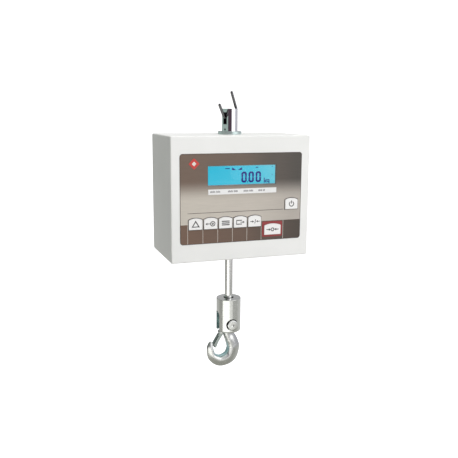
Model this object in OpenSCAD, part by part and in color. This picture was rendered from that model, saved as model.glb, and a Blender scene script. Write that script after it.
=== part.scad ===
// Hanging crane scale: a flat cabinet with a keypad and a backlit display, a slotted
// boss and wire hanger on top, and a swivelling clevis with a latched hook below.
// Frame: +Z up, +X to the reader's right, the front faces -Y. The origin is the centre
// of the rounded end of the hanger's shank, from which the whole scale hangs.

/* [Cabinet] */
// Width of the cabinet
casing_w = 240; // [236:1:260]
// Depth of the cabinet
casing_d = 128; // [120:1:140]
// Height of the cabinet
casing_h = 203.5; // [200:0.5:212]
// Thickness of the cabinet's sheet
wall = 2; // [1.6:0.1:3]
// Radius of the cabinet's outer edges
edge_r = 2; // [1.5:0.5:6]

/* [Suspension] */
// Diameter of the boss on top of the cabinet
boss_d = 26.8; // [24:0.2:28]
// Width across the two flats of the boss
boss_flats = 19.6; // [17:0.2:20]
// Height of the boss above its flange
boss_h = 37.5; // [36:0.5:46]
// How far the boss and its flats are turned about the vertical
boss_turn = 16; // [0:1:30]
// Diameter of the flange under the boss
flange_d = 40; // [36:0.5:44]
// Thickness of the flange
flange_t = 5; // [3:0.5:6]
// Width of the slot through the boss
slot_w = 10; // [9:0.5:11]
// Height of the slot through the boss
slot_h = 20; // [18:0.5:22]
// Wire diameter of the hanger
wire_d = 4.6; // [4:0.1:6]

/* [Keypad] */
// Width of a key cap
key_w = 22.6; // [21:0.1:23]
// Height of a key cap at its middle
key_h = 18.6; // [17:0.1:19]
// Width of the zero key's cap
zero_key_w = 29.6; // [24:0.1:30]
// Distance between two keys in the row
key_pitch = 25.45; // [25:0.05:26]
// How far a key cap stands out of the panel
key_stand = 1.8; // [1.2:0.1:2.5]
// Travel of a key
key_travel = 0.5; // [0.3:0.1:0.6]

/* [Display] */
// Width of the display window
window_w = 118; // [110:1:120]
// Height of the display window
window_h = 32; // [28:1:34]

/* [Load hook] */
// Diameter of the pull rod
rod_d = 14; // [12.5:0.1:15]
// Diameter of the clevis
clevis_d = 43.4; // [42:0.1:44]
// Length of the clevis
clevis_h = 60.5; // [60:0.5:64]
// Width of the clevis slot
fork_w = 17; // [16.9:0.1:18]
// Diameter of the clevis pin
pin_d = 12.7; // [12:0.1:13]
// Thickness of the hook's eye
eye_t = 16.4; // [15.4:0.1:16.4]

/* [Hidden] */
$fn = 48;

// Heights below are measured up from the cabinet's bottom face
shank_end_rise = 69.5;
base_z = -(casing_h + shank_end_rise);
// Both ends of the hanger's straight shank: [distance from the boss's axis, height]
shank_foot_at = [12.9, 247.2];
shank_end_at = [3.5, casing_h + shank_end_rise];
base_x = -shank_end_at[0] * cos(boss_turn);
base_y = -shank_end_at[0] * sin(boss_turn);
fit_gap = 0.05;
front_y = -casing_d / 2;
back_y = casing_d / 2;
inner_front_y = front_y + wall;

// Rear closure
cover_t = 3;
gasket_t = 1.5;
tub_back_y = back_y - cover_t - gasket_t;
screw_d = 4;
screw_inset = 9;

// Suspension
boss_bottom = casing_h + flange_t;
boss_top = boss_bottom + boss_h;
set_screw_z = boss_bottom + 3;
slot_top = boss_top - 6;
slot_middle = slot_top - slot_h / 2;
shank_d = 20;
shank_foot = 165;
stud_d = 12;
stud_foot = 141;

// Load cell
cell_w = 51;
cell_t = 25.4;
cell_h = 76;
cell_foot = 76;
cell_top = cell_foot + cell_h;

// Keypad and panel
panel_t = 0.5;
panel_w = 211;
panel_h = 146;
panel_middle = 103;
panel_r = 5;
panel_y = front_y - panel_t;
key_y = panel_y - key_stand;
key_gap = 0.25;
key_arch = 3;
key_foot = 54.3;
key_first_x = -80.1;
power_key_x = 87.75;
power_key_foot = 80.8;
zero_key_x = 54;
zero_key_foot = 39;
// Each key: where the middle of its foot is in X and in height, and its width
KEYS = [
    for (i = [0:4]) [key_first_x + i * key_pitch, key_foot, key_w],
    [zero_key_x, zero_key_foot, zero_key_w],
    [power_key_x, power_key_foot, key_w]];
flange_y = inner_front_y + 0.1;
key_flange_t = 1;
mat_y = flange_y + key_flange_t + key_travel + 0.1;
mat_t = 2;
board_y = mat_y + mat_t;
board_t = 1.6;
board_back_y = board_y + board_t;
window_middle = 140.2;
window_rim = 3;

// Clevis and hook
clevis_top = -84.5;
clevis_foot = clevis_top - clevis_h;
pin_z = -130;
recess_d = 18;
recess_h = 6;
web_foot = -98;
well_d = 22;
slot_arch_top = -108;
rod_foot = -110.5;
rod_neck_foot = 66;
head_well_d = 20.6;
head_well_floor = 18;
nut_well_floor = 16;
eye_r = 16;
latch_x = -14.5;
latch_z = -148.5;
latch_pin_d = 3;

module at_base() {
    translate([base_x, base_y, base_z]) children();
}

// A disc or rod along +Y whose near end is at y
module along_y(d, y, length) {
    translate([0, y, 0]) rotate([-90, 0, 0]) cylinder(d = d, h = length);
}

// A hexagonal prism along +Z, measured across its flats
module hex_bar(across_flats, h) {
    cylinder(d = across_flats / cos(30), h = h, $fn = 6);
}

module rounded_rect(w, h, r) {
    square([w - 2 * r, h], center = true);
    square([w, h - 2 * r], center = true);
    for (x = [-1, 1], y = [-1, 1]) {
        translate([x * (w / 2 - r), y * (h / 2 - r)]) circle(r);
    }
}

// A plate that stands upright in X and Z, its front face at y
module upright(y, t) {
    translate([0, y + t, 0]) rotate([90, 0, 0]) linear_extrude(t) children();
}

// Outline of a key cap in its place: straight sides and an arched top
module key_outline(key, grow = 0) {
    w = key[2] + 2 * grow;
    h = key_h + 2 * grow;
    arch_r = (w * w / 4 + key_arch * key_arch) / (2 * key_arch);
    translate([key[0], key[1] - grow]) intersection() {
        translate([-w / 2, 0]) square([w, h]);
        translate([0, h - arch_r]) circle(arch_r, $fn = 96);
    }
}

// Smooth curve through points: each span between two of them is cut into steps
function spline_at(a, b, c, d, t) =
    0.5 * (2 * b + (c - a) * t + (2 * a - 5 * b + 4 * c - d) * t * t
        + (3 * b - a - 3 * c + d) * t * t * t);
function spline(points, steps) = [
    for (i = [0:len(points) - 2], s = [0:steps - 1])
        spline_at(points[max(i - 1, 0)], points[i], points[i + 1],
            points[min(i + 2, len(points) - 1)], s / steps),
    points[len(points) - 1]];

function unit(v) = v / norm(v);
function heading(path, i) =
    unit(path[min(i + 1, len(path) - 1)] - path[max(i - 1, 0)]);

// A solid skinned over a ring of points at each station of a path
module skin(rings) {
    n = len(rings[0]);
    last = len(rings) - 1;
    points = [for (ring = rings, p = ring) p];
    sides = [
        for (r = [0:last - 1], k = [0:n - 1])
            let (a = r * n + k, b = r * n + (k + 1) % n)
            each [[a, b, b + n], [a, b + n, a + n]]];
    first_cap = [for (k = [n - 1:-1:0]) k];
    last_cap = [for (k = [0:n - 1]) last * n + k];
    polyhedron(points = points, faces = concat([first_cap], sides, [last_cap]), convexity = 6);
}

// Ring across a path in the X-Z plane: half is its half width in that plane, and
// thick is its half thickness along Y. A taper thins the side to the right of the path's start
function flat_ring(at, direction, half, thick, n, taper = 0) = [
    for (k = [0:n - 1])
        let (angle = 360 * k / n, across = [-direction[1], direction[0]] * half * cos(angle))
        [at[0] + across[0], thick * sin(angle) * (1 - taper * cos(angle)), at[1] + across[1]]];

// A round lead along points in space. Its route never runs straight along Y for long.
function lead_ring(at, direction, r, n) =
    let (side = unit(cross(direction, [0.05, 1, 0.07])), up = cross(side, direction))
    [for (k = [0:n - 1]) at + r * (cos(360 * k / n) * side + sin(360 * k / n) * up)];

module lead(points, d, steps = 5, n = 8) {
    path = spline(points, steps);
    skin([for (i = [0:len(path) - 1]) lead_ring(path[i], heading(path, i), d / 2, n)]);
}

// ---- Suspension ----

// The wire hanger's route in its own plane: [distance from the boss's axis, height]
HANGER_ROUTE = [
    [-21, 252], [-18, 245.5], [-15.2, 239.5], [-12.8, 234.5], [-8.5, 230.6], [0, 229],
    [8, 230.8], [11.6, 235.3], [12.8, 240], [13.1, 244], shank_foot_at];

module hanger_hook() {
    r = wire_d / 2;
    bend_r = r - 0.02;
    n = 20;
    path = spline(HANGER_ROUTE, 4);
    end = len(path) - 1;
    tip_way = heading(path, 0);
    lean = shank_end_at - shank_foot_at;
    tip = [for (t = [80, 60, 40, 20])
        flat_ring(path[0] - tip_way * r * sin(t), tip_way, bend_r * cos(t), bend_r * cos(t), n)];
    color("silver") at_base() rotate([0, 0, boss_turn]) {
        skin(concat(tip, [for (i = [0:end])
            flat_ring(path[i], i == end ? unit(lean) : heading(path, i), bend_r, bend_r, n)]));
        translate([shank_foot_at[0], 0, shank_foot_at[1]]) rotate([0, atan2(lean[0], lean[1]), 0])
            rotate_extrude() {
                square([r, norm(lean)]);
                intersection() {
                    translate([0, norm(lean)]) circle(r);
                    translate([0, norm(lean)]) square(r);
                }
            }
    }
}

module suspension_boss() {
    color("gainsboro") at_base() rotate([0, 0, boss_turn]) difference() {
        union() {
            intersection() {
                translate([0, 0, boss_bottom]) cylinder(d = boss_d, h = boss_h);
                translate([-boss_flats / 2, -boss_d, boss_bottom]) cube([boss_flats, 2 * boss_d, boss_h]);
            }
            translate([0, 0, shank_foot]) cylinder(d = shank_d, h = boss_bottom - shank_foot);
            translate([0, 0, stud_foot]) cylinder(d = stud_d, h = shank_foot - stud_foot);
        }
        translate([-boss_d, -slot_w / 2, slot_top - slot_h + slot_w / 2])
            cube([2 * boss_d, slot_w, slot_h - slot_w]);
        for (z = [slot_top - slot_w / 2, slot_top - slot_h + slot_w / 2]) {
            translate([-boss_d, 0, z]) rotate([0, 90, 0]) cylinder(d = slot_w, h = 2 * boss_d);
        }
        translate([-boss_flats / 2 - 1, 0, set_screw_z]) rotate([0, 90, 0]) cylinder(d = 4, h = 7);
    }
}

module boss_set_screw() {
    color("dimgray") at_base() rotate([0, 0, boss_turn]) difference() {
        translate([-boss_flats / 2 + 0.4, 0, set_screw_z]) rotate([0, 90, 0]) cylinder(d = 4, h = 5.6);
        translate([-boss_flats / 2 - 1, 0, set_screw_z]) rotate([0, 90, 0])
            cylinder(d = 2.2, h = 3.2, $fn = 6);
    }
}

module top_flange() {
    edge = 0.8;
    color("gainsboro") at_base() translate([0, 0, casing_h]) difference() {
        rotate_extrude() polygon([
            [0, 0], [flange_d / 2, 0], [flange_d / 2, flange_t - edge],
            [flange_d / 2 - edge, flange_t], [0, flange_t]]);
        translate([0, 0, -1]) cylinder(d = shank_d + 2 * fit_gap, h = flange_t + 2);
    }
}

module boss_nut() {
    nut_h = 9;
    color("silver") at_base() translate([0, 0, casing_h - wall - nut_h]) difference() {
        hex_bar(30, nut_h);
        translate([0, 0, -1]) cylinder(d = shank_d + 2 * fit_gap, h = nut_h + 2);
    }
}

// ---- Cabinet ----

SCREW_PLACES = concat(
    [for (x = [-1, 1], z = [screw_inset, casing_h / 2, casing_h - screw_inset])
        [x * (casing_w / 2 - screw_inset), z]],
    [for (z = [screw_inset, casing_h - screw_inset]) [0, z]]);

module at_screws() {
    for (p = SCREW_PLACES) translate([p[0], 0, p[1]]) children();
}

module casing_block() {
    hull() for (x = [-1, 1], z = [edge_r, casing_h - edge_r]) {
        translate([x * (casing_w / 2 - edge_r), front_y + edge_r, z]) sphere(edge_r, $fn = 32);
        translate([x * (casing_w / 2 - edge_r), 0, z]) along_y(2 * edge_r, tub_back_y - 1, 1, $fn = 32);
    }
}

module screw_post(p) {
    post_d = 9;
    post_l = 14;
    to_side = abs(p[0]) > 1;
    reach = screw_inset - wall + 0.5;
    translate([p[0], 0, p[1]]) {
        along_y(post_d, tub_back_y - post_l, post_l);
        if (to_side) {
            translate([p[0] > 0 ? 0 : -reach, tub_back_y - post_l, -2]) cube([reach, post_l, 4]);
        } else {
            translate([-2, tub_back_y - post_l, p[1] > casing_h / 2 ? 0 : -reach])
                cube([4, post_l, reach]);
        }
    }
}

jack_x = 80;
jack_y = 49;
module front_casing() {
    grommet_hole_d = 22;
    color("ivory") at_base() difference() {
        union() {
            difference() {
                casing_block();
                translate([-casing_w / 2 + wall, inner_front_y, wall])
                    cube([casing_w - 2 * wall, casing_d, casing_h - 2 * wall]);
            }
            for (p = SCREW_PLACES) screw_post(p);
        }
        at_screws() along_y(screw_d + 0.2, tub_back_y - 13, 14);
        translate([0, 0, casing_h - 2 * wall]) cylinder(d = shank_d + 0.4, h = 3 * wall);
        translate([0, 0, -wall]) cylinder(d = grommet_hole_d, h = 3 * wall);
        translate([jack_x, jack_y, -wall]) cylinder(d = 11.4, h = 3 * wall);
        upright(front_y - 1, wall + 2) {
            translate([0, window_middle]) square([window_w, window_h], center = true);
            for (key = KEYS) key_outline(key, key_gap);
        }
    }
}

module rear_gasket() {
    inset = 1;
    width = 12;
    color("dimgray") at_base() difference() {
        upright(tub_back_y, gasket_t) translate([0, casing_h / 2]) difference() {
            rounded_rect(casing_w - inset, casing_h - inset, edge_r);
            square([casing_w - 2 * width, casing_h - 2 * width], center = true);
        }
        at_screws() along_y(screw_d + 0.4, tub_back_y - 1, gasket_t + 2);
    }
}

module rear_cover() {
    color("ivory") at_base() difference() {
        upright(back_y - cover_t, cover_t) translate([0, casing_h / 2])
            rounded_rect(casing_w, casing_h, edge_r);
        at_screws() along_y(screw_d + 0.4, back_y - cover_t - 1, cover_t + 2);
    }
}

module cover_screws() {
    head_d = 8;
    head_h = 2.6;
    shank_l = 16;
    slot = [4.4, 1.6, 1];
    color("silver") at_base() at_screws() difference() {
        union() {
            along_y(screw_d, back_y - shank_l, shank_l);
            translate([0, back_y, 0]) rotate([-90, 0, 0]) rotate_extrude() polygon([
                [0, 0], [head_d / 2, 0], [head_d / 2, head_h - 1], [head_d / 2 - 1, head_h],
                [0, head_h]]);
        }
        translate([0, back_y + head_h, 0]) {
            cube(slot, center = true);
            rotate([0, 90, 0]) cube(slot, center = true);
        }
    }
}

// ---- Front panel ----

module front_panel() {
    color("rosybrown") at_base() upright(panel_y, panel_t) difference() {
        translate([0, panel_middle]) rounded_rect(panel_w, panel_h, panel_r);
        translate([0, window_middle]) square([window_w, window_h], center = true);
        for (key = KEYS) key_outline(key, key_gap);
    }
}

module lcd_window() {
    play = 0.4;
    color("powderblue", 0.4) at_base() upright(panel_y + 0.1, wall + panel_t - 0.1)
        translate([0, window_middle]) square([window_w - play, window_h - play], center = true);
}

module lcd_bezel() {
    lip = 0.6;
    start = inner_front_y + 0.1;
    depth = board_y - start;
    color("dimgray") at_base() translate([0, 0, window_middle]) difference() {
        upright(start, depth) square([window_w + 8, window_h + 8], center = true);
        upright(start - 1, depth + 2) square([window_w - 2, window_h - 2], center = true);
        upright(start + lip, depth) square([window_w + 4, window_h + 4], center = true);
    }
}

module lcd_display() {
    start = inner_front_y + 0.8;
    color("deepskyblue") at_base() translate([0, 0, window_middle])
        upright(start, board_y - start - 0.1) square([window_w + 3.6, window_h + 3.6], center = true);
}

module label_strip() {
    color("white") at_base() upright(panel_y - 0.3, 0.3) translate([0.75, 114.1])
        square([118.5, 8.6], center = true);
}

// A plain red lozenge with a pale centre
module badge() {
    size = 13;
    color("firebrick") at_base() upright(panel_y - 0.4, 0.4) translate([-82, 160])
        rotate(45) square(size, center = true);
}

module key_frames() {
    line = 0.7;
    color("dimgray") at_base() upright(panel_y - 0.3, 0.3)
        for (i = [0, 1, 2, 3, 4, 6]) difference() {
            key_outline(KEYS[i], key_gap + line);
            key_outline(KEYS[i], key_gap);
        }
}

module zero_key_frame() {
    color("firebrick") at_base() upright(panel_y - 0.5, 0.5) difference() {
        translate([zero_key_x - 0.2, zero_key_foot + 9.5]) rounded_rect(36.6, 26, 1.5);
        key_outline(KEYS[5], key_gap);
    }
}

module key_cap(i) {
    rim = 1;
    color("white") at_base() {
        upright(key_y, flange_y + key_flange_t - key_y) key_outline(KEYS[i]);
        upright(flange_y, key_flange_t) key_outline(KEYS[i], rim);
    }
}

module key_mat() {
    sheet_t = 0.8;
    color("dimgray") at_base() {
        upright(board_y - sheet_t, sheet_t) translate([-96, 32]) square([200, 74]);
        for (key = KEYS) translate([key[0], 0, key[1] + key_h / 2])
            along_y(12, mat_y, board_y - sheet_t - mat_y);
    }
}

// ---- Electronics ----

board_w = 226;
board_h = 140;
board_foot = 28;
STANDOFF_PLACES = [for (x = [-108.5, 108.5], z = [33, 163]) [x, z]];

module main_board() {
    color("darkgreen") at_base() difference() {
        upright(board_y, board_t) translate([-board_w / 2, board_foot]) square([board_w, board_h]);
        for (p = STANDOFF_PLACES) translate([p[0], 0, p[1]]) along_y(3.2, board_y - 1, board_t + 2);
    }
}

module board_standoffs() {
    color("silver") at_base() for (p = STANDOFF_PLACES) translate([p[0], 0, p[1]]) difference() {
        along_y(6, inner_front_y, board_y - inner_front_y);
        along_y(3.1, inner_front_y + 0.5, 10);
    }
}

module board_screws() {
    color("silver") at_base() for (p = STANDOFF_PLACES) translate([p[0], 0, p[1]]) {
        along_y(3, board_y - 2.5, board_t + 2.5);
        along_y(5.6, board_back_y, 2);
    }
}

module board_chip(x, z, w, h, t) {
    translate([x - w / 2, board_back_y, z - h / 2]) cube([w, t, h]);
}

module board_chips() {
    color("dimgray") at_base() {
        board_chip(-10, 84, 14, 14, 1.6);
        board_chip(-46, 92, 10, 6, 1.8);
        board_chip(20, 92, 8, 5, 1.6);
        board_chip(66, 120, 10, 9, 4.5);
        for (x = [84, 96]) translate([x, 0, 120]) along_y(8, board_back_y, 11);
    }
}

module board_connectors() {
    color("ivory") at_base() {
        board_chip(-60, 124, 14, 8, 7);
        board_chip(36, 132, 12, 8, 7);
        board_chip(60, 146, 10, 8, 7);
    }
}

// S-shaped force cell: two cuts from opposite sides leave a sprung middle
module load_cell() {
    cut = 3;
    arm = 20;
    bridge = 11;
    color("lightsteelblue") at_base() difference() {
        translate([-cell_w / 2, -cell_t / 2, cell_foot]) cube([cell_w, cell_t, cell_h]);
        translate([-cell_w / 2 - 1, -cell_t, cell_top - arm]) cube([cell_w + 1 - bridge, 2 * cell_t, cut]);
        translate([-cell_w / 2 + bridge, -cell_t, cell_foot + arm - cut])
            cube([cell_w + 1 - bridge, 2 * cell_t, cut]);
        translate([0, 0, cell_foot + cell_h / 2]) along_y(18, -cell_t, 2 * cell_t);
        translate([0, 0, cell_top - 12]) cylinder(d = stud_d + 2 * fit_gap, h = 13);
        translate([0, 0, cell_foot - 1]) cylinder(d = stud_d + 2 * fit_gap, h = 13);
    }
}

module load_cell_nuts() {
    nut_h = 8;
    color("silver") at_base() for (z = [cell_top + 0.5, cell_foot - 0.5 - nut_h]) {
        translate([0, 0, z]) difference() {
            hex_bar(19, nut_h);
            translate([0, 0, -1]) cylinder(d = stud_d + 2 * fit_gap, h = nut_h + 2);
        }
    }
}

module load_cell_cable() {
    color("dimgray") at_base() lead([
        [-cell_w / 2, 0, 122], [-30, -1, 122], [-38, -7, 119], [-47, -20, 110], [-55, -37, 101],
        [-59, -49, 103], [-60, -53, 110], [-60, -53.2, 120]], 3.5);
}

battery_x = 42;
battery_y = -20;
battery_size = [70, 47, 98];
terminal_h = 3;
terminal_top = wall + battery_size[2] + terminal_h;
module battery() {
    color("slategray") at_base() {
        translate([battery_x, battery_y, wall]) cube(battery_size);
        for (p = [[54, -8], [100, 12]]) translate([p[0] - 2.5, p[1] - 0.5, terminal_top - terminal_h])
            cube([5, 1, terminal_h]);
    }
}

module battery_bracket() {
    t = 1.5;
    strap_w = 15;
    foot = 11;
    gap = 0.3;
    low_y = battery_y - gap;
    high_y = battery_y + battery_size[1] + gap;
    top = wall + battery_size[2] + gap;
    color("silver") at_base() translate([battery_x + battery_size[0] / 2 - strap_w / 2, 0, 0])
        rotate([90, 0, 90]) linear_extrude(strap_w) {
            translate([low_y - t, wall]) square([t, top + t - wall]);
            translate([high_y, wall]) square([t, top + t - wall]);
            translate([low_y - t, top]) square([high_y - low_y + 2 * t, t]);
            translate([low_y - foot, wall]) square([foot, t]);
            translate([high_y, wall]) square([foot, t]);
        }
}

module battery_leads() {
    color("firebrick") at_base() {
        lead([[54, -8, terminal_top], [53, -11, 112], [48, -26, 119], [38, -44, 118],
            [33.5, -52.5, 121], [33.5, -53.2, 128]], 2);
        lead([[100, 12, terminal_top], [98, 7, 113], [80, -18, 122], [54, -44, 116],
            [39, -52.5, 120], [38.5, -53.2, 128]], 2);
    }
}

module charger_jack() {
    barrel_d = 11;
    rim_d = 14.5;
    rim_t = 1.5;
    color("black") at_base() translate([jack_x, jack_y, 0]) {
        difference() {
            union() {
                translate([0, 0, -rim_t]) cylinder(d = rim_d, h = rim_t);
                cylinder(d = barrel_d, h = 16);
            }
            translate([0, 0, -rim_t - 1]) cylinder(d = 6.4, h = 11);
        }
        translate([0, 0, 0]) cylinder(d = 2, h = 10);
    }
}

module jack_nut() {
    nut_h = 2.5;
    color("silver") at_base() translate([jack_x, jack_y, wall]) difference() {
        hex_bar(14, nut_h);
        translate([0, 0, -1]) cylinder(d = 11.1, h = nut_h + 2);
    }
}

module bottom_grommet() {
    lip = 1.5;
    color("dimgray") at_base() difference() {
        union() {
            translate([0, 0, -lip]) cylinder(d = 27, h = lip);
            cylinder(d = 21.9, h = wall);
            translate([0, 0, wall]) cylinder(d = 27, h = lip);
        }
        translate([0, 0, -lip - 1]) cylinder(d = rod_d + 2, h = wall + 2 * lip + 2);
    }
}

// ---- Load train ----

module pull_rod() {
    thread_d = 12;
    color("silver") at_base() {
        translate([0, 0, rod_neck_foot]) cylinder(d = thread_d, h = cell_foot + 11 - rod_neck_foot);
        translate([0, 0, web_foot]) cylinder(d = rod_d, h = rod_neck_foot - web_foot);
        translate([0, 0, rod_foot]) cylinder(d = thread_d, h = web_foot - rod_foot);
    }
}

washer_t = 2;
rod_nut_h = 8.5;
module thrust_washer() {
    color("goldenrod") at_base() translate([0, 0, web_foot - 0.1 - washer_t]) difference() {
        cylinder(d = 21, h = washer_t);
        translate([0, 0, -1]) cylinder(d = 12.1, h = washer_t + 2);
    }
}

module rod_nut() {
    color("silver") at_base() translate([0, 0, web_foot - 0.1 - washer_t - rod_nut_h]) difference() {
        cylinder(d = 20.4, h = rod_nut_h);
        translate([0, 0, -1]) cylinder(d = 12.1, h = rod_nut_h + 2);
        translate([-11, -1.5, -1]) cube([22, 3, 3.5]);
    }
}

module clevis() {
    top_edge = 0.8;
    foot_edge = 2.5;
    r = clevis_d / 2;
    color("silver") at_base() difference() {
        rotate_extrude() polygon([
            [0, clevis_foot], [r - foot_edge, clevis_foot], [r, clevis_foot + foot_edge],
            [r, clevis_top - top_edge], [r - top_edge, clevis_top], [0, clevis_top]]);
        translate([0, 0, clevis_top - recess_h]) cylinder(d = recess_d, h = recess_h + 1);
        translate([0, 0, clevis_foot]) cylinder(d = rod_d + 2 * fit_gap, h = clevis_h);
        translate([0, 0, clevis_foot - 1]) cylinder(d = well_d, h = web_foot - clevis_foot + 1);
        translate([-r - 1, -fork_w / 2, clevis_foot - 1])
            cube([2 * r + 2, fork_w, slot_arch_top - fork_w / 2 - clevis_foot + 1]);
        translate([-r - 1, 0, slot_arch_top - fork_w / 2]) rotate([0, 90, 0])
            cylinder(d = fork_w, h = 2 * r + 2);
        translate([0, 0, pin_z]) {
            along_y(pin_d + 2 * fit_gap, -r - 1, 2 * r + 2);
            along_y(head_well_d, -r - 1, r + 1 - head_well_floor);
            along_y(23, nut_well_floor, r);
        }
    }
}

module clevis_pin() {
    head_d = 18.6;
    head_h = 5.4;
    end_y = 20.8;
    color("silver") at_base() translate([0, -head_well_floor, pin_z]) difference() {
        union() {
            along_y(pin_d, 0, head_well_floor + nut_well_floor);
            along_y(pin_d - 0.7, 0, head_well_floor + end_y);
            rotate([90, 0, 0]) rotate_extrude() polygon([
                [0, 0], [head_d / 2, 0], [head_d / 2, head_h - 1.2], [head_d / 2 - 1.4, head_h],
                [0, head_h]]);
        }
        translate([0, -head_h - 1, 0]) rotate([-90, 0, 0]) hex_bar(6, 3.6);
    }
}

module clevis_nut() {
    color("silver") at_base() translate([0, nut_well_floor, pin_z]) rotate([-90, 0, 0]) difference() {
        hex_bar(19, 4.4);
        translate([0, 0, -1]) cylinder(d = pin_d - 0.6, h = 7);
    }
}

// Stations along the hook from its eye round to its tip:
// [distance from the pin's axis, height, half width, half thickness]
HOOK_STATIONS = [
    [0, -133, 11.5, 7.6], [-0.9, -145, 10, 7], [0.5, -154, 9.9, 7.2], [4.2, -162, 11, 8],
    [7.6, -171, 11.6, 8.4], [8.9, -181, 12, 9], [2.3, -196.4, 12.3, 9.2], [-15.6, -202.1, 10.6, 8.8],
    [-30.5, -193.4, 8, 7.6], [-34.9, -178.5, 6.1, 6.3], [-35, -171, 4.6, 5.1], [-34.6, -167, 3, 3.4]];

module load_hook() {
    steps = 4;
    n = 20;
    lug_t = 2.4;
    outer_taper = 0.38;
    stations = spline(HOOK_STATIONS, steps);
    path = [for (s = stations) [s[0], s[1]]];
    end = len(stations) - 1;
    tip_way = heading(path, end);
    tip = [for (t = [25, 50, 75])
        flat_ring(path[end] + tip_way * stations[end][2] * sin(t), tip_way,
            stations[end][2] * cos(t), stations[end][3] * cos(t), n, outer_taper)];
    color("silver") at_base() difference() {
        union() {
            skin(concat([for (i = [0:end])
                flat_ring(path[i], heading(path, i), stations[i][2], stations[i][3], n, outer_taper)], tip));
            translate([0, 0, pin_z]) along_y(2 * eye_r, -eye_t / 2, eye_t);
            hull() {
                translate([latch_x, 0, latch_z]) along_y(9, -lug_t / 2, lug_t, $fn = 32);
                translate([-4, 0, -143]) along_y(12, -lug_t / 2, lug_t, $fn = 32);
            }
        }
        translate([0, 0, pin_z]) along_y(pin_d + 2 * fit_gap, -eye_t, 2 * eye_t);
        translate([latch_x, 0, latch_z]) along_y(latch_pin_d, -eye_t, 2 * eye_t);
    }
}

module latch_pin() {
    head_d = 5;
    color("silver") at_base() translate([latch_x, 0, latch_z]) {
        along_y(latch_pin_d, -5.1, 10.2);
        for (y = [-5.2, 4.4]) along_y(head_d, y, 0.8);
    }
}

cheek_inside = 3;
cheek_t = 1.2;
module latch() {
    half_w = cheek_inside + cheek_t;
    color("darkseagreen") at_base() difference() {
        union() {
            for (y = [-half_w, cheek_inside]) {
                upright(y, cheek_t) polygon([
                    [-18.6, -150.4], [-29.6, -168.6], [-28, -174.6], [-24.4, -175.6],
                    [-20.2, -165], [-11.4, -151.6]]);
                translate([latch_x, 0, latch_z]) along_y(8.6, y, cheek_t);
            }
            upright(-half_w, 2 * half_w) polygon([
                [-20.7, -153.9], [-29.6, -168.6], [-28, -174.6], [-26.8, -174.3], [-28.3, -168.8],
                [-19.7, -154.5]]);
        }
        translate([latch_x, 0, latch_z]) along_y(latch_pin_d + 2 * fit_gap, -half_w - 1, 2 * half_w + 2);
    }
}

// A torsion spring beside the lug: one leg on the hook, a short coil and one leg on the latch
module latch_spring() {
    wire = 0.5;
    coil_r = 2.4;
    coil_start = 1.6;
    pitch = 0.6;
    turns = 1.6;
    leg = 6.5;
    from_angle = 300;
    steps = 26;
    angle_at = function (t) from_angle + 360 * turns * t;
    coil = [for (k = [0:steps])
        let (t = k / steps)
        [coil_r * cos(angle_at(t)), coil_start + pitch * turns * t, coil_r * sin(angle_at(t))]];
    first_leg = coil[0] - leg * 0.7 * [-sin(angle_at(0)), 0, cos(angle_at(0))];
    last_leg = coil[steps] + leg * [-sin(angle_at(1)), 0, cos(angle_at(1))];
    path = concat([first_leg], coil, [last_leg]);
    color("gray") at_base() translate([latch_x, 0, latch_z]) for (side = [0, 1]) {
        mirror([0, side, 0])
            skin([for (i = [0:len(path) - 1]) lead_ring(path[i], heading(path, i), wire / 2, 8)]);
    }
}

module key_1() { key_cap(0); }
module key_2() { key_cap(1); }
module key_3() { key_cap(2); }
module key_4() { key_cap(3); }
module key_5() { key_cap(4); }
module zero_key() { key_cap(5); }
module power_key() { key_cap(6); }

hanger_hook();
suspension_boss();
boss_set_screw();
top_flange();
boss_nut();
front_casing();
rear_gasket();
rear_cover();
cover_screws();
front_panel();
lcd_window();
lcd_bezel();
lcd_display();
label_strip();
badge();
key_frames();
zero_key_frame();
key_mat();
main_board();
board_chips();
board_connectors();
board_standoffs();
board_screws();
load_cell();
load_cell_nuts();
load_cell_cable();
battery();
battery_bracket();
battery_leads();
charger_jack();
jack_nut();
bottom_grommet();
pull_rod();
thrust_washer();
rod_nut();
clevis();
clevis_pin();
clevis_nut();
load_hook();
latch_pin();
latch_spring();
latch();
key_1();
key_2();
key_3();
key_4();
key_5();
zero_key();
power_key();
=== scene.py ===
"""Looks of the hanging crane scale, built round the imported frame. Metres, +Z up, the front faces -Y."""
import math

import bmesh
import bpy
from mathutils import Matrix, Vector


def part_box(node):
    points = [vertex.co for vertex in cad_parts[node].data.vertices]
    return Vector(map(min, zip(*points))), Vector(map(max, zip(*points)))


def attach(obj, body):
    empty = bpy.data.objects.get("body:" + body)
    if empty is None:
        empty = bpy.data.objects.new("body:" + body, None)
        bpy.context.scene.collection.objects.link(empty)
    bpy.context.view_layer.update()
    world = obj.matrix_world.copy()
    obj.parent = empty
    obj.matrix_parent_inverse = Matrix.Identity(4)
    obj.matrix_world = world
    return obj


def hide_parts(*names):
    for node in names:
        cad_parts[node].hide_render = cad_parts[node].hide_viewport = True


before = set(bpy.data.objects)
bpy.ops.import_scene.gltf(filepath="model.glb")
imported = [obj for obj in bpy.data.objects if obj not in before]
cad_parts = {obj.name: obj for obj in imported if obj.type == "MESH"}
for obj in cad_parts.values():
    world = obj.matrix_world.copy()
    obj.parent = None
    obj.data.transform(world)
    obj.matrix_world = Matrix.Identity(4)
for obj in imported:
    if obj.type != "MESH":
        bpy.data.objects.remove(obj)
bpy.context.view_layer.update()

MM = 0.001
rod_low, rod_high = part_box("pull_rod")
AXIS = Vector(((rod_low.x + rod_high.x) / 2, (rod_low.y + rod_high.y) / 2, 0))


def box(node):
    """A node's lowest and highest corners, measured from the vertical axis of the load."""
    low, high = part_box(node)
    return low - AXIS, high - AXIS


LOW, HIGH = box("front_casing")
BASE = LOW.z


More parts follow.
